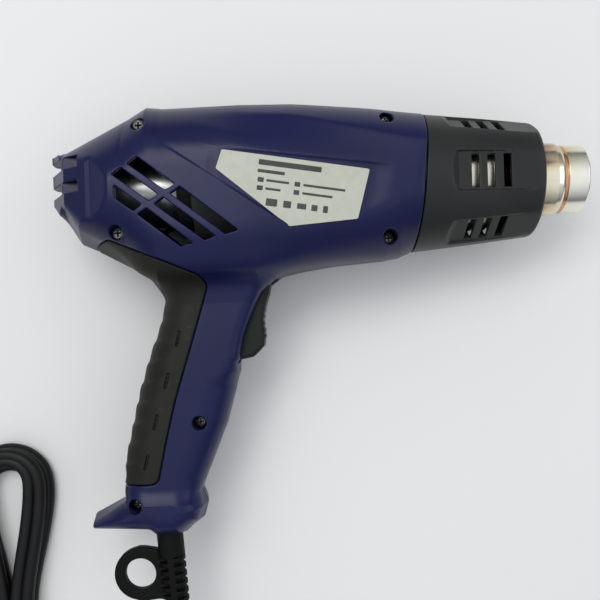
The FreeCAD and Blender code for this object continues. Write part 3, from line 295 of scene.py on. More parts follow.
def outline(*corners):
    """A closed outline through corners (x, y) or (x, y, radius), with the round corners as short runs."""
    points = []
    for number, corner in enumerate(corners):
        here = np.array(corner[:2], float)
        if len(corner) == 2:
            points.append(here)
            continue
        before = np.array(corners[number - 1][:2], float) - here
        after = np.array(corners[(number + 1) % len(corners)][:2], float) - here
        before, after = (v / np.linalg.norm(v) for v in (before, after))
        half = math.acos(np.clip(before @ after, -1, 1)) / 2
        reach = corner[2] / math.tan(half)
        start, end = here + before * reach, here + after * reach
        for step in range(ARC_STEPS + 1):
            share = step / ARC_STEPS
            points.append((1 - share) ** 2 * start + 2 * share * (1 - share) * here + share**2 * end)
    return np.array(points)


def evenly_rounded(corners, radius):
    return outline(*((*corner, radius) for corner in corners))


def region(points, x, y):
    """Signed distance to a closed outline in the plane, negative inside."""
    nearest, winding = np.inf, 0
    for (x0, y0), (x1, y1) in zip(points, np.roll(points, -1, axis=0)):
        run_x, run_y = x1 - x0, y1 - y0
        to_x, to_y = x - x0, y - y0
        along = np.clip((to_x * run_x + to_y * run_y) / (run_x**2 + run_y**2), 0, 1)
        apart = (to_x - run_x * along) ** 2 + (to_y - run_y * along) ** 2
        nearest = np.minimum(nearest, apart)
        left = run_x * to_y - run_y * to_x > 0
        upward = (y0 <= y) & (y1 > y) & left
        downward = (y1 <= y) & (y0 > y) & ~left
        winding = winding + upward.astype(int) - downward
    return np.where(winding != 0, -1, 1) * np.sqrt(nearest)


def rounded(flat, depth, radius):
    """An outline's distance and a distance along its depth joined with a round edge."""
    out, up = flat + radius, depth + radius
    return np.minimum(np.maximum(out, up), 0) + np.hypot(np.maximum(out, 0), np.maximum(up, 0)) - radius


def carve(form, cutter, reach):
    """A form without what lies inside the cutter."""
    return soft_max(form, -cutter, reach)


def profile(stops, at):
    """The value at a place, from a list of (place, value)."""
    return np.interp(at, *zip(*stops))


def slope_of(shape, points):
    """The shape's value and its gradient at points, from the four corners of a small tetrahedron."""
    value, gradient = 0, 0
    for corner in ((1, -1, -1), (-1, -1, 1), (-1, 1, -1), (1, 1, 1)):
        found = shape(*(points + np.array(corner) * PROBE).T)
        value = value + found / 4
        gradient = gradient + found[:, None] * np.array(corner) / (4 * PROBE)
    return value, gradient


def mesh_of(shape, low, high, step):
    """Points and faces of a shape's surface, found on a grid and moved onto the surface."""
    step = step
    x, y, z = (np.arange(a, b + step, step) for a, b in zip(low, high))
    field = shape(x[:, None, None], y[None, :, None], z[None, None, :])
    grid = openvdb.FloatGrid(step)
    grid.copyFromArray(np.ascontiguousarray(field, np.float32))
    points, faces = grid.convertToQuads(0.0)
    points = points.astype(float) * step + np.array(low, float)
    for _ in range(2):
        value, gradient = slope_of(shape, points)
        size = np.maximum((gradient**2).sum(1), LEAST_SLOPE_SQUARED)
        move = gradient * (value / size)[:, None]
        length = np.linalg.norm(move, axis=1, keepdims=True)
        points -= move * np.minimum(1, LONGEST_MOVE * step / np.maximum(length, TINY))
    return points, faces.astype(int)


def half_grid(side, low, high, top):
    """The corners of one half's grid, over the parting plane when side is 1 or under it when it is -1."""
    return ((*low, -1), (*high, top)) if side > 0 else ((*low, -top), (*high, 1))


def normals_of(shape, points):
    gradient = slope_of(shape, points)[1]
    return gradient / np.maximum(np.linalg.norm(gradient, axis=1, keepdims=True), TINY)


def add_mesh(name, points, faces, normals=None, sharp=None):
    """A piece from points in the gun's frame; edges turn sharp over an angle, or normals are given."""
    mesh = bpy.data.meshes.new(name)
    mesh.from_pydata(place(points), [], faces.tolist() if hasattr(faces, "tolist") else faces)
    mesh.shade_smooth()
    if normals is not None:
        mesh.normals_split_custom_set_from_vertices(normals)
    elif sharp:
        mesh.set_sharp_from_angle(angle=math.radians(sharp))
    piece = bpy.data.objects.new(name, mesh)
    bpy.context.scene.collection.objects.link(piece)
    return piece


def add_solid(name, shape, low, high, step, keep=1.0):
    """A piece of a shape; keep is the share of its triangles left after flat stretches are thinned out."""
    points, faces = mesh_of(shape, low, high, step)
    piece = add_mesh(name, points, faces)
    if keep < 1:
        thin = piece.modifiers.new("thin", "DECIMATE")
        thin.ratio = keep
        evaluated = piece.evaluated_get(bpy.context.evaluated_depsgraph_get())
        fine = piece.data
        piece.data = bpy.data.meshes.new_from_object(evaluated)
        piece.modifiers.clear()
        bpy.data.meshes.remove(fine)
        piece.data.name = name
    kept = np.empty(3 * len(piece.data.vertices))
    piece.data.vertices.foreach_get("co", kept)
    kept = (kept.reshape(-1, 3) - ORIGIN) / MM
    piece.data.normals_split_custom_set_from_vertices(normals_of(shape, kept))
    return piece


def finish_piece(piece, material, node, body="housing"):
    """Paint a piece, fix it to its body and name the CAD node that it stands for."""
    piece.data.materials.append(material)
    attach(piece, body)
    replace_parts(piece, node)

# ---- power cord, tied hank and plug

# from the strain relief down to the table and round to the lower end of the hank
CORD_ROUTE = [
    (57.61, -228.15, 0.0),
    (59.2, -246.0, 0.0),
    (61.8, -265.2, -4.4),
    (63.9, -284.0, -13.2),
    (63.9, -303.8, -23.2),
    (59.0, -323.6, -31.2),
    (45.8, -340.0, LYING),
    (26.0, -348.6, LYING),
    (4.6, -346.8, LYING),
    (-12.6, -334.0, LYING),
    (-20.8, -314.5, LYING),
]
HANK_START = (-21.0, -296.0, LYING)
# from the hank's waist to the plug
TAIL_ROUTE = [
    (-50.0, -223.0, LYING + 6.0),
    (-55.5, -238.5, LYING + 4.0),
    (-65.5, -252.5, LYING + 1.5),
    (-75.0, -267.0, LYING + 2.0),
    (-81.0, -283.0, -30.5),
]
HANK_X = -41.0
WAIST_Y = -226.0
LAYER = 6.2  # a strand of the upper layer lies this much over the lower one
TOP_BEND_Y = -155.5
LOW_BEND_Y = -300.0
# each turn: its strands' distance from the middle at the lobes and at the waist, its layer,
# how far its upper bend lies past TOP_BEND_Y, and how far the lower bend after it lies past LOW_BEND_Y
TURNS = [
    (21.0, 8.9, 0, 0.0, 0.0),
    (14.2, 3.0, 0, -1.5, -3.0),
    (12.6, 3.0, 1, 3.0, 5.0),
    (18.4, 8.9, 1, 0.8, 0.0),
]
FIRST_LOW_BEND_Y = -294.0
# where a strand's points are, as shares of the way from the waist to its bend
LOW_SHARES = (0.2, 0.45, 0.72)
HIGH_SHARES = (0.2, 0.42, 0.62, 0.82)
BEND_STEPS = 6
BEND_WIDEN = 1.035  # the points inside a bend lie this much further out, so that the curve keeps its width


def strand(side, reach, waist, y_bend, shares, z):
    """Points of a strand between the hank's waist and its bend; side is 1 for the right strand or -1."""
    points = []
    for share in shares:
        out = waist + (reach - waist) * ease(0, 1, share)
        points.append((HANK_X + side * out, WAIST_Y + (y_bend - WAIST_Y) * share, z))
    return points


def bend(left, right, y_bend, way, z_from, z_to):
    """Points round a hank's bend, from its right strand to its left one at the top, or back below."""
    points = []
    middle, radius = (right - left) / 2, (right + left) / 2
    for step in range(BEND_STEPS + 1):
        angle = math.pi * step / BEND_STEPS
        widen = BEND_WIDEN if 0 < step < BEND_STEPS else 1.0
        x = HANK_X + middle + way * radius * widen * math.cos(angle)
        y = y_bend + way * radius * widen * math.sin(angle)
        points.append((x, y, z_from + (z_to - z_from) * step / BEND_STEPS))
    return points


def hank_points():
    """The folded turns, from the first right strand to the last left one."""
    points = []
    y_low = FIRST_LOW_BEND_Y
    for number, (reach, waist, layer, rise, drop) in enumerate(TURNS):
        z = LYING + LAYER * layer
        y_top = TOP_BEND_Y + rise
        points += strand(1, reach, waist, y_low, reversed(LOW_SHARES), z)
        points.append((HANK_X + waist, WAIST_Y, z))
        points += strand(1, reach, waist, y_top, HIGH_SHARES, z)
        points += bend(reach, reach, y_top, 1, z, z)
        points += strand(-1, reach, waist, y_top, reversed(HIGH_SHARES), z)
        if number + 1 < len(TURNS):
            points.append((HANK_X - waist, WAIST_Y, z))
            y_low = LOW_BEND_Y - drop
            following = TURNS[number + 1]
            z_next = LYING + LAYER * following[2]
            points += strand(-1, reach, waist, y_low, LOW_SHARES, z)
            points += bend(reach, following[0], y_low, -1, z, z_next)
    return points


def add_cord():
    route = CORD_ROUTE + [HANK_START] + hank_points() + TAIL_ROUTE
    curve = bpy.data.curves.new("power_cord_curve", "CURVE")
    curve.dimensions = "3D"
    curve.bevel_depth = CORD_RADIUS * MM
    curve.bevel_resolution = 5
    curve.resolution_u = 6
    curve.use_fill_caps = True
    line = curve.splines.new("NURBS")
    line.points.add(len(route) - 1)
    for point, at in zip(line.points, place(route)):
        point.co = (*at, 1)
    line.order_u = 3
    line.use_endpoint_u = True
    cord = bpy.data.objects.new("mains_cord", curve)
    bpy.context.scene.collection.objects.link(cord)
    cord.data.materials.append(cord_rubber())
    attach(cord, "housing")
    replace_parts(cord, "power_cord", "cord_tail", "cord_hank")
    return cord


cord = add_cord()

# ---- the gun's outer form

PANEL = 38.0  # from the parting plane to the flat side panel
WALL = 3.0
GRIP_SKIN = 1.8
BARREL = outline(
    (0.3, 18.6, 0.5), (5.4, 18.8, 0.4), (6.6, 20.5), (50.6, 42.0, 1.5),
    (58.0, 40.6, 4.0), (95.7, 41.2, 15.0), (122.1, 40.6, 15.0), (160.9, 37.4, 15.0),
    (205.0, 32.0), (205.0, -30.0), (182.0, -34.2, 2.0), (174.3, -37.4, 4.0),
    (166.5, -38.6, 4.0), (143.0, -40.1, 8.0), (127.3, -41.9, 8.0), (113.2, -44.6, 3.0),
    (104.0, -47.0), (56.0, -48.0), (44.7, -41.6, 4.0), (21.8, -29.3, 2.5),
    (13.8, -25.7, 3.0), (7.3, -15.2, 3.0), (0.6, -6.7, 0.5),
)
HANDLE = outline(
    (62, -30), (112, -36), (110.5, -46.0), (107.5, -49.4), (104.3, -53.5),
    (101.4, -59.1), (98.6, -65.8), (96.1, -72.6), (94.3, -79.5), (92.9, -86.0, 0.8),
    (91.7, -87.6, 0.8), (91.9, -91.7, 1.5), (89.7, -101.0, 4.0), (84.9, -117.9, 6.0),
    (76.8, -137.2, 6.0), (70.9, -151.1, 1.5), (74.1, -157.6, 1.5), (72.0, -165.3, 2.0),
    (66.4, -169.3, 1.2), (62.4, -173.0, 2.0), (48.2, -173.7, 2.0), (45.0, -170.9, 1.5),
    (16.9, -169.4, 0.8), (15.4, -165.7, 0.8), (16.7, -162.0, 1.0), (33.3, -153.6, 1.5),
    (33.1, -148.0, 2.0), (33.6, -133.9, 5.0), (41.4, -100.9, 8.0), (47.0, -83.1, 8.0),
    (53.2, -66.8, 8.0), (55.8, -55.5, 4.0), (52.0, -46.0, 4.0),
)
# the side panel's ridges run forward and down from these places: x, y and height at both ends
RIDGE_HIGH = ((57.0, 32.0, 26.4), (140.0, 23.6, 31.3))
RIDGE_LOW = ((57.0, 24.4, 35.4), (164.0, 9.6, 34.7))
RIDGE_PANEL = ((57.0, 20.2, 38.0), (157.0, 5.1, 35.9))
# the recess round the label: its sharp upper edge and its step down from the vents' panel
RECESS = outline(
    (56.0, 19.0, 1.0), (79.5, 16.6, 6.0), (86.8, 13.4, 6.0), (160.0, 4.3),
    (215.0, -2.0), (215.0, -90.0), (160.0, -52.0),
)
# the label's corners, from the two ends of its upper edge
LABEL_CORNERS = [(89.9, 11.6), (157.5, 1.0), (151.3, -21.7), (119.7, -24.3), (86.9, 3.0)]
LABEL = evenly_rounded(LABEL_CORNERS, 1.0)
SEAM_TOP = (186.6, 34.0)
SEAM_BOTTOM = (180.6, -34.6)
# heights over the parting plane along the barrel: the side panel and the floor of the label's recess
PANEL_HEIGHTS = [
    (1.5, 4.2), (11.8, 21.0), (24.3, 29.4), (27, 29.9), (37.2, PANEL), (100, PANEL),
    (192, 34.7),
]
LABEL_FLOOR = [(56, 36.7), (88, 37.53), (192, 33.8)]
# how fast the sides draw in with height, and the rounding of the long edges above and below
DRAFT = [(6, 0.1), (9, 0.33), (42, 0.27), (57, 0.11), (150, 0.05)]
UPPER_RADIUS = [(40, 28), (60, 33), (130, 33), (175, 36)]
LOWER_RADIUS = [(20, 20), (60, 23), (118, 24), (175, 36)]
PANEL_EDGE = 1.2  # the rounding of the panel's edge
# the rear end is bevelled: its height this far inside the outline, and how fast that rises further in
BEVEL_HEIGHT, BEVEL_INSET, BEVEL_RISE = 33.5, 9.5, 0.5
# down the handle: how fast its base draws in, half its thickness and the rounding of its edges
BASE_DRAFT = [(-172, 0.24), (-160, 0.18), (-150, 0.0)]
GRIP_HALF = 17.5
HANDLE_HALF = [(-171.5, 19.2), (-166, 20.2), (-155.3, 20.2), (-58, GRIP_HALF), (-46, 19), (-30, 24)]
GRIP_TOP, GRIP_BOTTOM = -58, -155.3
BASE_FLARE = 2.6
HEEL_THIN = 2.0
HANDLE_RADIUS = [(-162, 9.0), (-144, 14.0), (-60, 15.5), (-40, 18.0)]
HANDLE_MIDDLE = [(-95, 66.0), (-50, 80.0)]
TRIGGER_SIDE_RADIUS = 6.0
NECK_BLEND = 7.0


def ridge(ends, x):
    """A ridge's y and height where it passes x."""
    (x0, y0, z0), (x1, y1, z1) = ends
    share = (x - x0) / (x1 - x0)
    return y0 + (y1 - y0) * share, z0 + (z1 - z0) * share


def facet(upper, lower, x, y, a):
    """The flat band between two ridges."""
    y_high, z_high = ridge(upper, x)
    y_low, z_low = ridge(lower, x)
    fall = (z_high - z_low) / (y_high - y_low)
    return (a - z_low - (y - y_low) * fall) / np.sqrt(1 + fall**2)


def panel_height(x):
    return profile(PANEL_HEIGHTS, x)


def label_floor(x):
    return profile(LABEL_FLOOR, x)


def recess_depth(x, y):
    """How far the label's recess lies under the side panel."""
    inside = ease(-0.2, 1.4, -region(RECESS, x, y))
    by_label = 1 - ease(1.5, 13.0, region(LABEL, x, y))
    by_vents = 1 - ease(72.0, 108.0, x + 0 * y)
    return (panel_height(x) - label_floor(x)) * inside * np.maximum(by_label, by_vents)


def barrel_form(x, y, a, recessed):
    draft = profile(DRAFT, x) * ease(-44, -30, y)
    flat = region(BARREL, x, y) + draft * a
    upper = profile(UPPER_RADIUS, x)
    lower = profile(LOWER_RADIUS, x)
    radius = lower + (upper - lower) * ease(-14, 10, y)
    wall = np.maximum(PANEL + 0.3 - radius, 0)
    form = rounded(flat, a - wall - radius, radius)
    height = panel_height(x) - (recess_depth(x, y) if recessed else 0)
    form = soft_max(form, (a - height) * 0.88, PANEL_EDGE)
    bevel = BEVEL_HEIGHT + (-flat - BEVEL_INSET) * BEVEL_RISE
    bevel = bevel + np.maximum(4 - y, 0) * 1.2 + np.maximum(x - 46, 0) * 0.9
    form = soft_max(form, (a - bevel) * 0.84, 1.0)
    form = soft_max(form, facet(RIDGE_HIGH, RIDGE_LOW, x, y, a), 0.5)
    return soft_max(form, facet(RIDGE_LOW, RIDGE_PANEL, x, y, a), 0.5)


def handle_form(x, y, a):
    flat = region(HANDLE, x, y) + a * profile(BASE_DRAFT, y)
    half = profile(HANDLE_HALF, y)
    half = half + (GRIP_HALF - half) * (y > GRIP_BOTTOM) * (y < GRIP_TOP)
    half = half + BASE_FLARE * np.clip((-147.6 - y) / 7.7, 0, 1) ** 1.6 * (y > GRIP_BOTTOM)
    heel = ease(-158, -154, y) * (1 - ease(15, 34, x)) * HEEL_THIN
    radius = profile(HANDLE_RADIUS, y)
    # the edge is tighter beside the trigger
    beside_trigger = ease(-4, 12, x - profile(HANDLE_MIDDLE, y)) * ease(-100, -86, y)
    radius = radius + (TRIGGER_SIDE_RADIUS - radius) * beside_trigger
    return rounded(flat, a - half + heel, radius)


def gun_form(x, y, z, recessed):
    """The outside of the housing and grips together."""
    a = np.abs(z)
    return soft_min(barrel_form(x, y, a, recessed), handle_form(x, y, a), NECK_BLEND)

# ---- housing halves

# each vent's corners: the slots lie along one slope, and their ends follow the panel's edges
VENTS = [
    ((50.7, 9.9), (67.8, -3.5), (63.4, -6.0), (46.2, 6.8)),
    ((70.3, -4.7), (96.2, -25.3), (90.3, -26.9), (65.8, -7.7)),
    ((43.4, 5.0), (60.0, -7.9), (55.9, -10.7), (39.1, 2.0)),
    ((62.5, -9.4), (85.8, -27.6), (80.7, -29.4), (58.4, -12.4)),
    ((40.2, -3.1), (52.3, -12.3), (48.6, -15.2), (40.3, -9.1)),
    ((54.8, -14.1), (75.3, -30.4), (69.6, -31.8), (50.4, -16.8)),
]
VENT_CORNER = 0.4
VENT_BOTTOM = 18  # nothing nearer than this to the parting plane is cut
VENT_SLOPE = math.radians(-38.5)
# short blind notches up the slope from the first two vents
NOTCHES = [(47.0, 10.2), (39.9, 6.0)]
NOTCH_HALF_LONG = 3.2
NOTCH_HALF_WIDE = 2.2
NOTCH_DEEP = 0.35
# the gaps between the rear fins: their lower and upper edges
CHANNELS = [(8.8, 14.4), (-2.9, 2.3)]
CHANNEL_END = 20.0
CHANNEL_FLOOR = 18.6
REAR_WALL = 6.6
# further out from the parting plane than this the rear wall grows thicker, at this rate
REAR_LEAN_FROM, REAR_LEAN = 8, 0.33
# screws: place, and height of the head's seat over the parting plane
SCREWS = [
    (49.6, 27, 24), (38.4, -23.6, 24), (167.3, 27.5, 16), (167.3, -29, 16),
    (72.7, -116, 9), (40.6, -155.5, 9),
]
COUNTERBORE = 3.4
BOSS_RADIUS = 4.8
TRIGGER_SLOT = 9.4
TRIGGER_SLOT_REAR = 79
TRIGGER_SLOT_TOP, TRIGGER_SLOT_BOTTOM = -45.5, -88
GUARD_BORE = 32.2
GUARD_BORE_REAR = 164
RELIEF_X = 53.6
RELIEF_HOLE = 7.6
RELIEF_HOLE_TOP = -163
HOUSING_GRID = 0.62
HOUSING_KEEP = 0.5
GRIP = outline(
    (24.0, -27.0, 2.5), (33.2, -26.2, 4.0), (44.9, -31.2), (75.7, -44.3, 5.0),
    (79.2, -48.8, 4.5), (71.8, -72.4, 8.0), (61.4, -104.9, 8.0), (56.3, -125.2, 8.0),
    (51.9, -145.2, 5.0), (38.0, -145.8), (20.0, -149.0), (20.0, -60.0), (13.0, -38.0),
)


def seam(x, y):
    """Distance in front of the slanted plane where the housing meets the heat guard."""
    run_x, run_y = SEAM_TOP[0] - SEAM_BOTTOM[0], SEAM_TOP[1] - SEAM_BOTTOM[1]
    length = math.hypot(run_x, run_y)
    return ((x - SEAM_BOTTOM[0]) * run_y - (y - SEAM_BOTTOM[1]) * run_x) / length


def notch_form(x, y, at):
    """A small rectangle lying along the vents' slope."""
    c, s = math.cos(VENT_SLOPE), math.sin(VENT_SLOPE)
    u = (x - at[0]) * c + (y - at[1]) * s
    v = (y - at[1]) * c - (x - at[0]) * s
    return np.maximum(np.abs(u) - NOTCH_HALF_LONG, np.abs(v) - NOTCH_HALF_WIDE)


def rear_channels(x, y, a):
    """The gaps between the rear fins, through the rear wall and down the sloping sides."""
    cut = np.inf
    for low, high in CHANNELS:
        gap = np.maximum(low - y, y - high)
        behind = np.maximum(gap, x - REAR_WALL - np.maximum(a - REAR_LEAN_FROM, 0) * REAR_LEAN)
        beside = np.maximum(np.maximum(gap, x - CHANNEL_END), CHANNEL_FLOOR - a)
        cut = np.minimum(cut, np.minimum(behind, beside))
    return cut


def housing_half(side):
    """One half's shape; side is 1 for the right half, with the label and the screws' heads, or -1."""
    right = side > 0

    def shape(x, y, z):
        a = z * side
        form = gun_form(x, y, a, right)
        form = carve(form, rear_channels(x, y, np.abs(a)), 0.45)
        skin = np.maximum(form, -(form + WALL))
        inside = form + 0.2
        for at_x, at_y, _ in SCREWS:
            skin = np.minimum(skin, np.maximum(np.hypot(x - at_x, y - at_y) - BOSS_RADIUS, inside))
        grip = region(GRIP, x, y)
        skin = carve(skin, np.maximum(grip, -(form + GRIP_SKIN)), 0.9)
        for corners in VENTS:
            vent = region(evenly_rounded(corners, VENT_CORNER), x, y)
            skin = carve(skin, np.maximum(vent, VENT_BOTTOM - a), 0.6)
        for notch in NOTCHES:
            skin = carve(skin, np.maximum(notch_form(x, y, notch), PANEL - NOTCH_DEEP - a), 0.5)
        if right:
            for at_x, at_y, seat in SCREWS:
                hole = np.hypot(x - at_x, y - at_y) - COUNTERBORE
                skin = carve(skin, np.maximum(hole, seat - a), 0.5)
        slot = np.maximum(np.abs(a) - TRIGGER_SLOT, TRIGGER_SLOT_REAR - x)
        slot = np.maximum(slot, np.maximum(y - TRIGGER_SLOT_TOP, TRIGGER_SLOT_BOTTOM - y))
        skin = carve(skin, slot, 0.5)
        bore = np.maximum(np.hypot(y, a) - GUARD_BORE, GUARD_BORE_REAR - x)
        skin = carve(skin, bore, 0.4)
        way = np.maximum(np.hypot(x - RELIEF_X, a) - RELIEF_HOLE, y - RELIEF_HOLE_TOP)
        skin = carve(skin, way, 0.5)
        skin = soft_max(skin, seam(x, y), 0.8)
        return soft_max(skin, 0.02 - a, 0.55)

    name = "housing_right_shell" if right else "housing_left_shell"
    return add_solid(name, shape, *half_grid(side, (-2, -177), (194, 45), 41), HOUSING_GRID, HOUSING_KEEP)


def add_housing():
    navy, rubbed = (0.0045, 0.0065, 0.052), (0.03, 0.033, 0.1)
    plastic = moulded("housing_plastic", navy, 0.31, grain=2800.0, depth=0.02, wear=rubbed, shine=0.28)
    finish_piece(housing_half(1), plastic, "housing_right")
    finish_piece(housing_half(-1), plastic, "housing_left")


add_housing()

# ---- rubber grips

# short dashes in the rubber: their middles, and how much they lean forward as they rise
DASHES = [(63.6, -74.6), (57.5, -95.0), (51.6, -114.9), (46.4, -134.3)]
DASH_LEAN = 0.26
DASH_HALF_WIDE = 0.55
DASH_HALF_LONG = 3.6
DASH_DEEP = 0.8
# shallow steps across the back
STEP_PITCH = 9.2
STEP_LEAN = 0.28
STEP_DEEP = 0.55
GRIP_PROUD = 0.1
GRIP_GAP = 0.35  # between the rubber's edge and its pocket


def grip_half(side):
    """The rubber on one half of the handle; side is 1 for the right half, or -1."""

    def shape(x, y, z):
        a = z * side
        form = gun_form(x, y, a, False)
        back = -region(HANDLE, x, y)
        along = (-50 - y + STEP_LEAN * (x - 50)) / STEP_PITCH
        saw = along - np.floor(along)
        steps = ease(0.0, 0.75, saw) * (1 - ease(0.75, 1.0, saw))
        fade = (1 - ease(7.0, 13.0, back)) * ease(-58, -68, y) * ease(-146, -140, y)
        outer = form - GRIP_PROUD + STEP_DEEP * steps * fade
        for at_x, at_y in DASHES:
            dash = np.abs((x - at_x) - DASH_LEAN * (y - at_y)) - DASH_HALF_WIDE
            dash = np.maximum(dash, np.abs(y - at_y) - DASH_HALF_LONG)
            outer = carve(outer, np.maximum(dash, -(form + DASH_DEEP)), 0.5)
        skin = soft_max(outer, region(GRIP, x, y) + GRIP_GAP, 0.9)
        skin = np.maximum(skin, -(form + GRIP_SKIN - GRIP_PROUD))
        return soft_max(skin, 0.05 - a, 0.5)

    name = "grip_right_rubber" if side > 0 else "grip_left_rubber"
    return add_solid(name, shape, *half_grid(side, (18, -151), (84, -22), 37), 0.6)


def add_grips():
    black, rubbed = (0.0135, 0.0142, 0.0105), (0.035, 0.035, 0.03)
    rubber = moulded("grip_rubber", black, 0.5, grain=1900.0, depth=0.05, vary=0.2, wear=rubbed, shine=0.2)
    finish_piece(grip_half(1), rubber, "grip_right")
    finish_piece(grip_half(-1), rubber, "grip_left")


add_grips()

# ---- heat guard

GUARD_REAR = 176.0
GUARD_FRONT = 242.0
GUARD_SPIGOT = 31.9
GUARD_WALL = 2.4
GUARD_EDGE = 2.4
GUARD_MOUTH = 18.9
POCKETS = 6
POCKET_START = 199.8
POCKET_HALF = 9.0
POCKET_FLARE = 0.35  # its sides open outwards this much for each millimetre of depth
POCKET_RISE = 0.75  # its rear end slopes up this steeply
GUARD_RADII = [(180.6, 34.7), (215.0, 31.35), (GUARD_FRONT, 28.3)]
POCKET_FLOOR = [(POCKET_START, 30.3), (GUARD_FRONT, 27.1)]
CONE_COSINE = 0.994
GUARD_SLOTS = (207.6, 215.2, 223.0)
SLOT_HALF_WIDE = 1.75
SLOT_HALF_LONG = 7.7


def guard_shape(x, y, z):
    r = np.hypot(y, z)
    turn = np.arctan2(y, z)
    turn = turn - np.round(turn / (math.tau / POCKETS)) * (math.tau / POCKETS)
    out, across = r * np.cos(turn), np.abs(r * np.sin(turn))
    cone = (r - profile(GUARD_RADII, x)) * CONE_COSINE
    form = rounded(cone, x - GUARD_FRONT, GUARD_EDGE)
    floor = profile(POCKET_FLOOR, x) + np.maximum(POCKET_START - x, 0) * POCKET_RISE
    pocket = np.maximum(floor - out, across - POCKET_HALF - (out - floor) * POCKET_FLARE)
    form = soft_max(form, -pocket, 0.6)
    skin = np.maximum(form, -(form + GUARD_WALL))
    spigot = np.maximum(np.abs(r - GUARD_SPIGOT + 1.1) - 1.1, np.maximum(GUARD_REAR - x, x - 196))
    skin = np.maximum(skin, -seam(x, y) + 0.25)
    skin = soft_max(skin, 0.6 - seam(x, y), 0.7)
    skin = np.minimum(skin, spigot)
    for at in GUARD_SLOTS:
        gap = np.maximum(np.abs(x - at) - SLOT_HALF_WIDE, across - SLOT_HALF_LONG)
        skin = carve(skin, np.maximum(gap, 22 - out), 0.5)
    return carve(skin, np.maximum(r - GUARD_MOUTH, 225 - x), 0.8)


def add_guard():
    guard = add_solid("heat_guard_shell", guard_shape, (174, -37, -37), (243, 37, 37), 0.6)
    plastic = moulded("guard_plastic", (0.017, 0.020, 0.0185), 0.36, grain=2400.0, wear=(0.05, 0.05, 0.048))
    finish_piece(guard, plastic, "heat_guard")


add_guard()

# ---- nozzle

LATHE_SIDES = 128


def lathe(section):
    """Points and faces of a closed section of (distance, radius) turned about the barrel's axis."""
    along = Vector((1, 0, 0))
    side = along.orthogonal().normalized()
    other = along.cross(side)
    points, faces = [], []
    count = len(section)
    for number in range(LATHE_SIDES):
        angle = math.tau * number / LATHE_SIDES
        out = side * math.cos(angle) + other * math.sin(angle)
        points += [tuple(along * float(d) + out * float(r)) for d, r in section]
    for number in range(LATHE_SIDES):
        here, there = number * count, (number + 1) % LATHE_SIDES * count
        for at in range(count):
            step = (at + 1) % count
            faces.append((here + at, here + step, there + step, there + at))
    return points, faces


NOZZLE = outline(
    (174.5, 18.4), (251.2, 18.4, 1.0), (253.4, 18.0, 1.0), (254.7, 17.2, 0.6),
    (255.2, 16.35, 0.2), (256.2, 16.35, 0.2), (256.7, 17.0, 0.4), (266.2, 17.0, 0.5),
    (266.8, 16.7, 0.2), (266.8, 16.2, 0.2), (266.1, 15.95, 0.3), (257.0, 15.95, 0.4),
    (256.4, 15.4, 0.2), (254.9, 15.4, 0.2), (252.6, 17.0, 1.0), (250.6, 17.5, 1.0),
    (174.5, 17.5),
)


def nozzle_steel():
    """Stainless steel tinted by heat: purple-brown by the guard, straw further out, in uneven stripes along
    the axis that are partly heat tint and partly painted reflection bands, and a painted reflection band
    along one side.
    """
    n = Nodes("nozzle_steel")
    spot = n.node("SeparateXYZ", Vector=n.coords)
    along = n.math("MULTIPLY", n.math("SUBTRACT", spot.outputs["X"], float(ORIGIN[0] + 0.236)), 32.0)
    # noise in stripes along the axis: uneven heat tint, and partly painted reflection bands round the tube
    heat_and_reflection_streaks = n.noise(95.0, 3.0, (0.12, 1, 1))
    cloud = n.noise(140.0, 4.0, (0.5, 1, 1))
    heat = n.math("ADD", along, n.math("MULTIPLY", n.math("SUBTRACT", heat_and_reflection_streaks, 0.5), 1.3))
    heat = n.math("ADD", heat, n.math("MULTIPLY", n.math("SUBTRACT", cloud, 0.5), 0.3))
    tint = n.ramp(
        heat,
        (0.0, (0.16, 0.10, 0.13)),
        (0.16, (0.34, 0.20, 0.16)),
        (0.34, (0.72, 0.60, 0.40)),
        (0.62, (0.88, 0.84, 0.68)),
        (0.95, (0.93, 0.91, 0.83)),
    )
    # a maroon band along one side, a painted reflection band, and copper in the groove
    side = n.math("MULTIPLY", spot.outputs["Y"], 25.0)
    side = n.ramp(side, (0.30, 0.0), (0.36, 0.75), (0.40, 0.75), (0.44, 0.0))
    tint = n.mix(side, tint, (0.36, 0.12, 0.12))
    groove = n.math("SUBTRACT", spot.outputs["X"], float(ORIGIN[0] + 0.2535))
    groove = n.ramp(n.math("MULTIPLY", groove, 200.0), (0.15, 0.0), (0.3, 0.8), (0.55, 0.8), (0.7, 0.0))
    tint = n.mix(groove, tint, (0.62, 0.27, 0.10))
    lines = n.noise(700.0, 3.0, (1, 0.06, 0.06))
    gloss = n.math("ADD", n.math("MULTIPLY", lines, 0.14), 0.13)
    n.bump(lines, 0.012, 0.5)
    return n.finish(tint, gloss, 1.0)


def add_nozzle():
    points, faces = lathe(NOZZLE)
    piece = add_mesh("nozzle_tube", points, faces, sharp=50)
    finish_piece(piece, nozzle_steel(), "nozzle")


add_nozzle()

# ---- trigger

TRIGGER = outline(
    (108.9, -48.6, 1.5), (108.4, -52.9, 3.0), (106.1, -59.9, 10.0),
    (105.0, -67.0, 10.0), (105.8, -74.3, 4.0), (105.1, -79.6, 1.8), (99.8, -85.0, 3.5),
    (92.4, -86.3, 1.4), (88.7, -84.4, 0.8), (91.2, -72.0, 8.0), (95.0, -60.0, 8.0),
    (102.2, -47.6, 1.5), (105.4, -45.1, 1.5),
)
TRIGGER_HALF = 8.95
PIVOT = (105.5, -48.5)
PIVOT_BORE = 1.56
EAR_RADIUS = 3.5
GROOVE_HIGH = 0.22
GROOVE_PITCH = 3.4


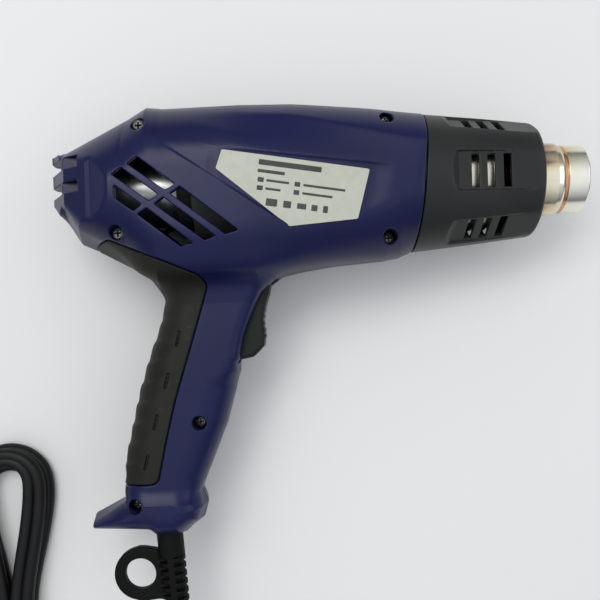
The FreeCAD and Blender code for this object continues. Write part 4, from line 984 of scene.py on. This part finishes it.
def trigger_shape(x, y, z):
    form = rounded(region(TRIGGER, x, y), np.abs(z) - TRIGGER_HALF, 1.9)
    from_pivot = np.hypot(x - PIVOT[0], y - PIVOT[1])
    ear = rounded(from_pivot - EAR_RADIUS, np.abs(z) - TRIGGER_HALF, 0.8)
    form = soft_min(form, ear, 1.0)
    # shallow finger grooves across the front
    waves = GROOVE_HIGH * np.cos((y + 70) * math.tau / GROOVE_PITCH)
    waves = waves * ease(-79, -76, y) * (1 - ease(-64, -61, y))
    form = form + waves * ease(-1.4, -0.4, region(TRIGGER, x, y)) * ease(99, 102, x)
    return carve(form, from_pivot - PIVOT_BORE, 0.2)


def add_trigger():
    trigger = add_solid("trigger_lever", trigger_shape, (86, -89, -10), (111, -43, 10), 0.4)
    rubbed = (0.03, 0.03, 0.03)
    plastic = moulded("trigger_plastic", (0.006, 0.0105, 0.008), 0.42, grain=2600.0, wear=rubbed, shine=0.2)
    finish_piece(trigger, plastic, "trigger", body="trigger")


add_trigger()

# ---- strain relief

RELIEF_ROOT = (53.6, -174.8)
RELIEF_TILT = math.radians(4.3)
RELIEF_LONG = 53.5
BOOT_RADII = [(0, 6.65), (30, 6.5), (RELIEF_LONG, 5.2)]
BOOT_CORE = 4.2  # the notches between the ribs leave a core of this radius
RIB_PITCH = 4.2
FIRST_NOTCH = 11.5
NOTCH_HALF = 0.95
FLANGE_RADIUS = 9.25
FLANGE_HALF = 1.45
RING = (38.4, -193.5)
RING_RADIUS = 13.2
RING_BORE = 7.8
RING_HALF = 2.45


def relief_shape(x, y, z):
    to_x, to_y = x - RELIEF_ROOT[0], y - RELIEF_ROOT[1]
    along = to_x * math.sin(RELIEF_TILT) - to_y * math.cos(RELIEF_TILT)
    across = to_x * math.cos(RELIEF_TILT) + to_y * math.sin(RELIEF_TILT)
    r = np.hypot(across, z)
    boot = rounded(r - profile(BOOT_RADII, along), along - RELIEF_LONG, 1.0)
    boot = soft_max(boot, -11 - along, 0.4)
    # notches from both sides, one side half a pitch after the other
    right = across > 0
    phase = (along - FIRST_NOTCH - np.where(right, RIB_PITCH / 2, 0)) / RIB_PITCH
    off_notch = np.abs(phase - np.round(phase)) * RIB_PITCH
    notch = np.maximum(off_notch - NOTCH_HALF, 1.6 - np.abs(across))
    ends = np.maximum(10.0 - along, along - RELIEF_LONG + 3.5)
    boot = carve(boot, np.maximum(np.maximum(notch, BOOT_CORE - r), ends), 0.5)
    flange = rounded(r - FLANGE_RADIUS, np.abs(along + 9.5) - FLANGE_HALF, 0.4)
    from_ring = np.hypot(x - RING[0], y - RING[1])
    arm = np.abs(y - RING[1] + 0.4) - RING_RADIUS + 0.6
    arm = np.maximum(np.maximum(RING[0] - x, x - RELIEF_ROOT[0]), arm)
    ring = rounded(soft_min(from_ring - RING_RADIUS, arm, 3.0), np.abs(z) - RING_HALF, 0.8)
    ring = carve(ring, from_ring - RING_BORE, 0.8)
    form = soft_min(soft_min(boot, ring, 1.2), flange, 0.3)
    return carve(form, np.maximum(r - CORD_RADIUS - 0.03, -along - 30), 0.1)


def add_relief():
    relief = add_solid("relief_boot", relief_shape, (23, -231, -10.5), (66, -161, 10.5), 0.42)
    black, rubbed = (0.003, 0.0032, 0.0028), (0.03, 0.03, 0.025)
    rubber = moulded("relief_rubber", black, 0.5, grain=2200.0, depth=0.04, vary=0.2, wear=rubbed, shine=0.12)
    finish_piece(relief, rubber, "strain_relief")


add_relief()

# ---- plug

PLUG_END = (-81.0, -283.0)
PLUG_TURN = math.radians(-111.0)
PLUG_HIGH = 15.0
PLUG_HALF_HIGH = [(0, 5.4), (8, 6.2), (22, 7.48), (40, 7.48)]
NECK_NOTCHES = (4.5, 8.0, 11.5)
GROOVE_ROW = 2.6
PLUG = outline(
    (0.2, -5.2, 1.5), (11.0, -7.8, 5.0), (20.0, -17.3, 5.5), (30.0, -16.0, 8.0),
    (39.9, -17.4, 2.5), (39.9, 17.4, 2.5), (30.0, 16.0, 8.0), (20.0, 17.3, 5.5),
    (11.0, 7.8, 5.0), (0.2, 5.2, 1.5),
)


def plug_shape(x, y, z):
    c, s = math.cos(PLUG_TURN), math.sin(PLUG_TURN)
    u = (x - PLUG_END[0]) * c + (y - PLUG_END[1]) * s
    v = (y - PLUG_END[1]) * c - (x - PLUG_END[0]) * s
    up = np.abs(z - TABLE - PLUG_HIGH / 2)
    form = rounded(region(PLUG, u, v), up - profile(PLUG_HALF_HIGH, u), 3.2)
    for at in NECK_NOTCHES:
        form = carve(form, np.maximum(np.abs(u - at) - 0.7, 4.0 - np.hypot(v, up)), 0.6)
    side = np.abs(v) - 6.5
    rows = np.abs(side / GROOVE_ROW - np.round(side / GROOVE_ROW)) * GROOVE_ROW
    grooves = np.maximum(np.maximum(rows - 0.5, np.abs(side) - 6.4), np.maximum(25 - u, u - 35))
    return carve(form, np.maximum(grooves, 7.0 - up), 0.4)


def add_plug():
    plug = add_solid("plug_moulding", plug_shape, (-114, -328, -39), (-69, -279, -22), 0.5)
    black, rubbed = (0.014, 0.014, 0.0145), (0.06, 0.06, 0.06)
    rubber = moulded("plug_rubber", black, 0.46, grain=2000.0, depth=0.04, vary=0.2, wear=rubbed)
    finish_piece(plug, rubber, "plug_body")


add_plug()

# ---- screws

HEAD_RADIUS = 2.85
HEAD_HIGH = 2.1
SHANK_RADIUS = 1.5
SCREW_END = -11.9
THREAD_PITCH = 1.1
THREAD_DEEP = 0.5
DOME_RADIUS = 5.5
CROSS_HALF_WIDE = 0.42
CROSS_HALF_LONG = 1.75


def screw_shape(seat):
    """One screw about its own axis: a domed head with a cross recess, and a threaded shank."""

    def shape(x, y, z):
        r = np.hypot(x, y)
        dome = np.sqrt(r**2 + (z - seat + 3.4) ** 2) - DOME_RADIUS
        head = soft_max(np.maximum(r - HEAD_RADIUS, seat - z), dome, 0.4)
        upright = np.maximum(np.abs(x) - CROSS_HALF_WIDE, np.abs(y) - CROSS_HALF_LONG)
        level = np.maximum(np.abs(y) - CROSS_HALF_WIDE, np.abs(x) - CROSS_HALF_LONG)
        cross = np.minimum(upright, level) + (seat + HEAD_HIGH - z) * 0.25
        head = carve(head, np.maximum(cross, seat + 0.7 - z), 0.15)
        turn = np.arctan2(y, x) / math.tau - z / THREAD_PITCH
        thread = SHANK_RADIUS - THREAD_DEEP * np.abs(turn - np.round(turn))
        shank = np.maximum(r - thread, np.maximum(z - seat - 0.3, SCREW_END - z + r * 0.8))
        return np.minimum(head, shank)

    return shape


def add_screws():
    points, faces, normals = [], [], []
    count = 0
    for at_x, at_y, seat in SCREWS:
        found, quads = mesh_of(screw_shape(seat), (-3.4, -3.4, -12.6), (3.4, 3.4, seat + 2.8), 0.28)
        points.append(found + np.array([at_x, at_y, 0.0]))
        faces.append(quads + count)
        normals.append(normals_of(screw_shape(seat), found))
        count += len(found)
    piece = add_mesh("cross_screws", *(np.concatenate(part) for part in (points, faces, normals)))
    # steel darker than its own tone: painted shade, so that the heads stand in for the shade deep in their
    # holes
    steel_with_painted_hole_shade = steel("screw_steel_darkened_as_hole_shade", (0.2, 0.2, 0.195), 0.34, scale=1500.0)
    finish_piece(piece, steel_with_painted_hole_shade, "housing_screws")


add_screws()

# ---- rating label

LABEL_CORNER = np.array(LABEL_CORNERS[0])
LABEL_RUN = np.array(LABEL_CORNERS[1]) - LABEL_CORNER
LABEL_THICK = 0.33
INK_THICK = 0.03
# plain bars and blocks in place of print: along the label, down from its top edge, length and height
BARS = [
    (17.5, 3.4, 29.0, 2.5), (17.5, 7.4, 12.5, 1.5), (18.0, 11.4, 2.8, 2.2),
    (22.0, 11.4, 10.5, 1.1), (35.0, 11.4, 2.6, 2.2), (39.0, 11.4, 19.5, 1.1),
    (18.0, 15.2, 2.8, 2.2), (22.0, 15.2, 7.0, 1.1), (35.0, 15.2, 2.6, 2.2),
    (39.0, 15.2, 14.0, 1.1), (23.0, 21.2, 5.2, 3.4), (31.0, 21.2, 3.6, 3.2),
    (37.4, 21.2, 4.2, 2.6), (44.0, 21.2, 2.8, 2.8), (49.4, 21.2, 2.2, 3.2),
]


def sheet(points, bottom, top):
    """Points and faces of a flat sheet on the label's recess; its outline runs either way."""
    twice_area = np.cross(points, np.roll(points, -1, axis=0)).sum()
    points = points if twice_area > 0 else points[::-1]
    count = len(points)
    floor = label_floor(points[:, 0])
    solid = [(*point, low + side) for side in (bottom, top) for point, low in zip(points, floor)]
    faces = [tuple(range(count, 2 * count)), tuple(range(count - 1, -1, -1))]
    faces += [(i, (i + 1) % count, (i + 1) % count + count, i + count) for i in range(count)]
    return solid, faces


def add_label():
    points, faces = sheet(LABEL, -0.02, LABEL_THICK)
    on_card = len(faces)
    along = LABEL_RUN / np.linalg.norm(LABEL_RUN)
    down = np.array([along[1], -along[0]])
    for start, drop, length, height in BARS:
        middle = LABEL_CORNER + along * (start + length / 2) + down * drop
        half, tall = along * length / 2, down * height / 2
        corners = [middle - half - tall, middle + half - tall, middle + half + tall, middle - half + tall]
        bar = evenly_rounded(corners, min(0.35, height / 3))
        more, sides = sheet(bar, LABEL_THICK - 0.01, LABEL_THICK + INK_THICK)
        faces += [tuple(i + len(points) for i in face) for face in sides]
        points += more
    piece = add_mesh("label_sheet", points, faces, sharp=30)
    cream, grey = (0.49, 0.495, 0.42), (0.05, 0.052, 0.05)
    card = moulded("label_film", cream, 0.3, grain=900.0, depth=0.008, vary=0.05, wear=(0.6, 0.6, 0.55))
    ink = moulded("label_ink", grey, 0.45, grain=1500.0, depth=0.005, vary=0.25, wear=(0.1, 0.1, 0.1))
    finish_piece(piece, card, "rating_label")
    piece.data.materials.append(ink)
    for face in piece.data.polygons[on_card:]:
        face.material_index = 1


add_label()

# ---- twist tie round the hank

TIE_HALF = (13.7, 7.35)
TIE_WIDE = 2.3


def tie_shape(x, y, z):
    across, up = x - HANK_X, z - TABLE - 7.6
    loop = rounded(np.abs(across) - TIE_HALF[0], np.abs(up) - TIE_HALF[1], 5.0)
    wire = np.hypot(loop, y - WAIST_Y) - 0.62
    return soft_min(rounded(np.abs(loop) - 0.28, np.abs(y - WAIST_Y) - TIE_WIDE, 0.2), wire, 0.3)


def add_tie():
    tie = add_solid("twist_tie", tie_shape, (-57, -230, -39.5), (-25, -222, -21), 0.3)
    rubbed = (0.1, 0.1, 0.1)
    plastic = moulded("tie_plastic", (0.02, 0.02, 0.021), 0.4, grain=1500.0, depth=0.02, wear=rubbed)
    finish_piece(tie, plastic, "cord_tie")


add_tie()

# ---- finishes of the inner pieces

def ceramic():
    n = Nodes("ceramic_body")
    speckle = n.noise(420.0, 4.0)
    tone = n.ramp(n.noise(70.0, 3.0), (0.3, (0.52, 0.48, 0.40)), (0.75, (0.66, 0.62, 0.54)))
    scorch = n.ramp(speckle, (0.5, 0.0), (0.75, 0.4))
    n.bump(speckle, 0.05, 0.5)
    return n.finish(n.mix(scorch, tone, (0.28, 0.21, 0.14)), 0.78)


def mica():
    n = Nodes("mica_sheet")
    flakes = n.noise(310.0, 5.0, (0.5, 1, 1))
    dark, amber, pale = (0.20, 0.16, 0.10), (0.36, 0.31, 0.21), (0.56, 0.52, 0.42)
    tone = n.ramp(flakes, (0.3, dark), (0.55, amber), (0.8, pale))
    n.bump(flakes, 0.03, 0.5)
    return n.finish(tone, 0.34, 0.15)


def windings():
    """Stacked steel sheets with copper wire at both ends of the stack."""
    n = Nodes("armature_stack")
    spot = n.node("SeparateXYZ", Vector=n.coords)
    radius = n.math("POWER", spot.outputs["Y"], 2.0)
    sheets = n.node("TexWave", Vector=n.coords, Scale=420.0, Distortion=0.6, Detail=1.0).outputs["Fac"]
    stack = n.ramp(sheets, (0.35, (0.10, 0.10, 0.105)), (0.65, (0.26, 0.25, 0.24)))
    copper = n.ramp(n.noise(500.0, 3.0), (0.3, (0.34, 0.11, 0.035)), (0.7, (0.62, 0.25, 0.09)))
    wound = n.ramp(n.math("MULTIPLY", radius, 9000.0), (0.2, 0.0), (0.5, 0.55))
    n.bump(sheets, 0.05, 0.4)
    return n.finish(n.mix(wound, stack, copper), 0.4, 0.8)


def circuit_board():
    n = Nodes("board_laminate")
    tracks = n.noise(190.0, 1.0)
    resin, track, mask = (0.010, 0.075, 0.030), (0.016, 0.14, 0.055), (0.012, 0.09, 0.038)
    tone = n.ramp(tracks, (0.47, resin), (0.5, track), (0.62, mask))
    n.bump(tracks, 0.03, 0.4)
    return n.finish(tone, 0.35)


def insulation():
    n = Nodes("lead_sleeving")
    braid = n.node("TexWave", Vector=n.coords, Scale=600.0, Distortion=2.0, Detail=2.0).outputs["Fac"]
    tone = n.ramp(n.noise(30.0, 2.0), (0.35, (0.012, 0.013, 0.02)), (0.65, (0.022, 0.024, 0.036)))
    n.bump(braid, 0.02, 0.4)
    return n.finish(tone, 0.5)


def plastic(name, colour, rough):
    wear = tuple(min(1, c * 1.8 + 0.03) for c in colour)
    return moulded(name, colour, rough, grain=1800.0, vary=0.15, wear=wear)


def paint_inner_pieces():
    """Gives every piece still shown as it was designed a finish, by its slot in the record."""
    finishes = {
        "bright_steel": steel("shield_steel", (0.72, 0.69, 0.60), 0.24, (1, 0.1, 0.1), 800.0),
        "mica": mica(),
        "ceramic": ceramic(),
        "heating_wire": steel("coil_wire", (0.46, 0.38, 0.30), 0.42, scale=1400.0),
        "motor_steel": steel("can_steel", (0.60, 0.61, 0.60), 0.30, (1, 0.08, 0.08), 600.0),
        "bush_bronze": steel("bush_bronze", (0.58, 0.36, 0.16), 0.36),
        "magnet": plastic("magnet_ferrite", (0.045, 0.043, 0.042), 0.7),
        "laminations": windings(),
        "plug_pin": steel("pin_nickel", (0.70, 0.66, 0.56), 0.22, scale=1100.0),
        "screw_steel": steel("inner_zinc", (0.5, 0.5, 0.48), 0.34, scale=1500.0),
        "motor_plastic": plastic("end_cap_plastic", (0.030, 0.030, 0.032), 0.5),
        "fan_plastic": plastic("fan_nylon", (0.020, 0.020, 0.022), 0.42),
        "duct_plastic": plastic("duct_plastic", (0.035, 0.035, 0.037), 0.5),
        "soft_rubber": plastic("damper_rubber", (0.016, 0.016, 0.016), 0.7),
        "switch_plastic": plastic("switch_plastic", (0.024, 0.024, 0.026), 0.45),
        "board": circuit_board(),
        "component_black": plastic("component_epoxy", (0.015, 0.015, 0.016), 0.35),
        "film_yellow": plastic("capacitor_film", (0.62, 0.40, 0.04), 0.32),
        "terminal_plastic": plastic("terminal_plastic", (0.62, 0.60, 0.55), 0.4),
        "lead_insulation": insulation(),
        "clamp_plastic": plastic("clamp_plastic", (0.30, 0.29, 0.27), 0.5),
        "cord_rubber": cord_rubber(),
    }
    replaced = {name for piece in bpy.data.objects for name in piece.get("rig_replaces", [])}
    for name, node in frame["nodes"].items():
        slot_name = node.data.materials[0].name.split(".")[0]
        if name in replaced or slot_name not in finishes:
            continue
        node.data.materials.clear()
        node.data.materials.append(finishes[slot_name])


paint_inner_pieces()
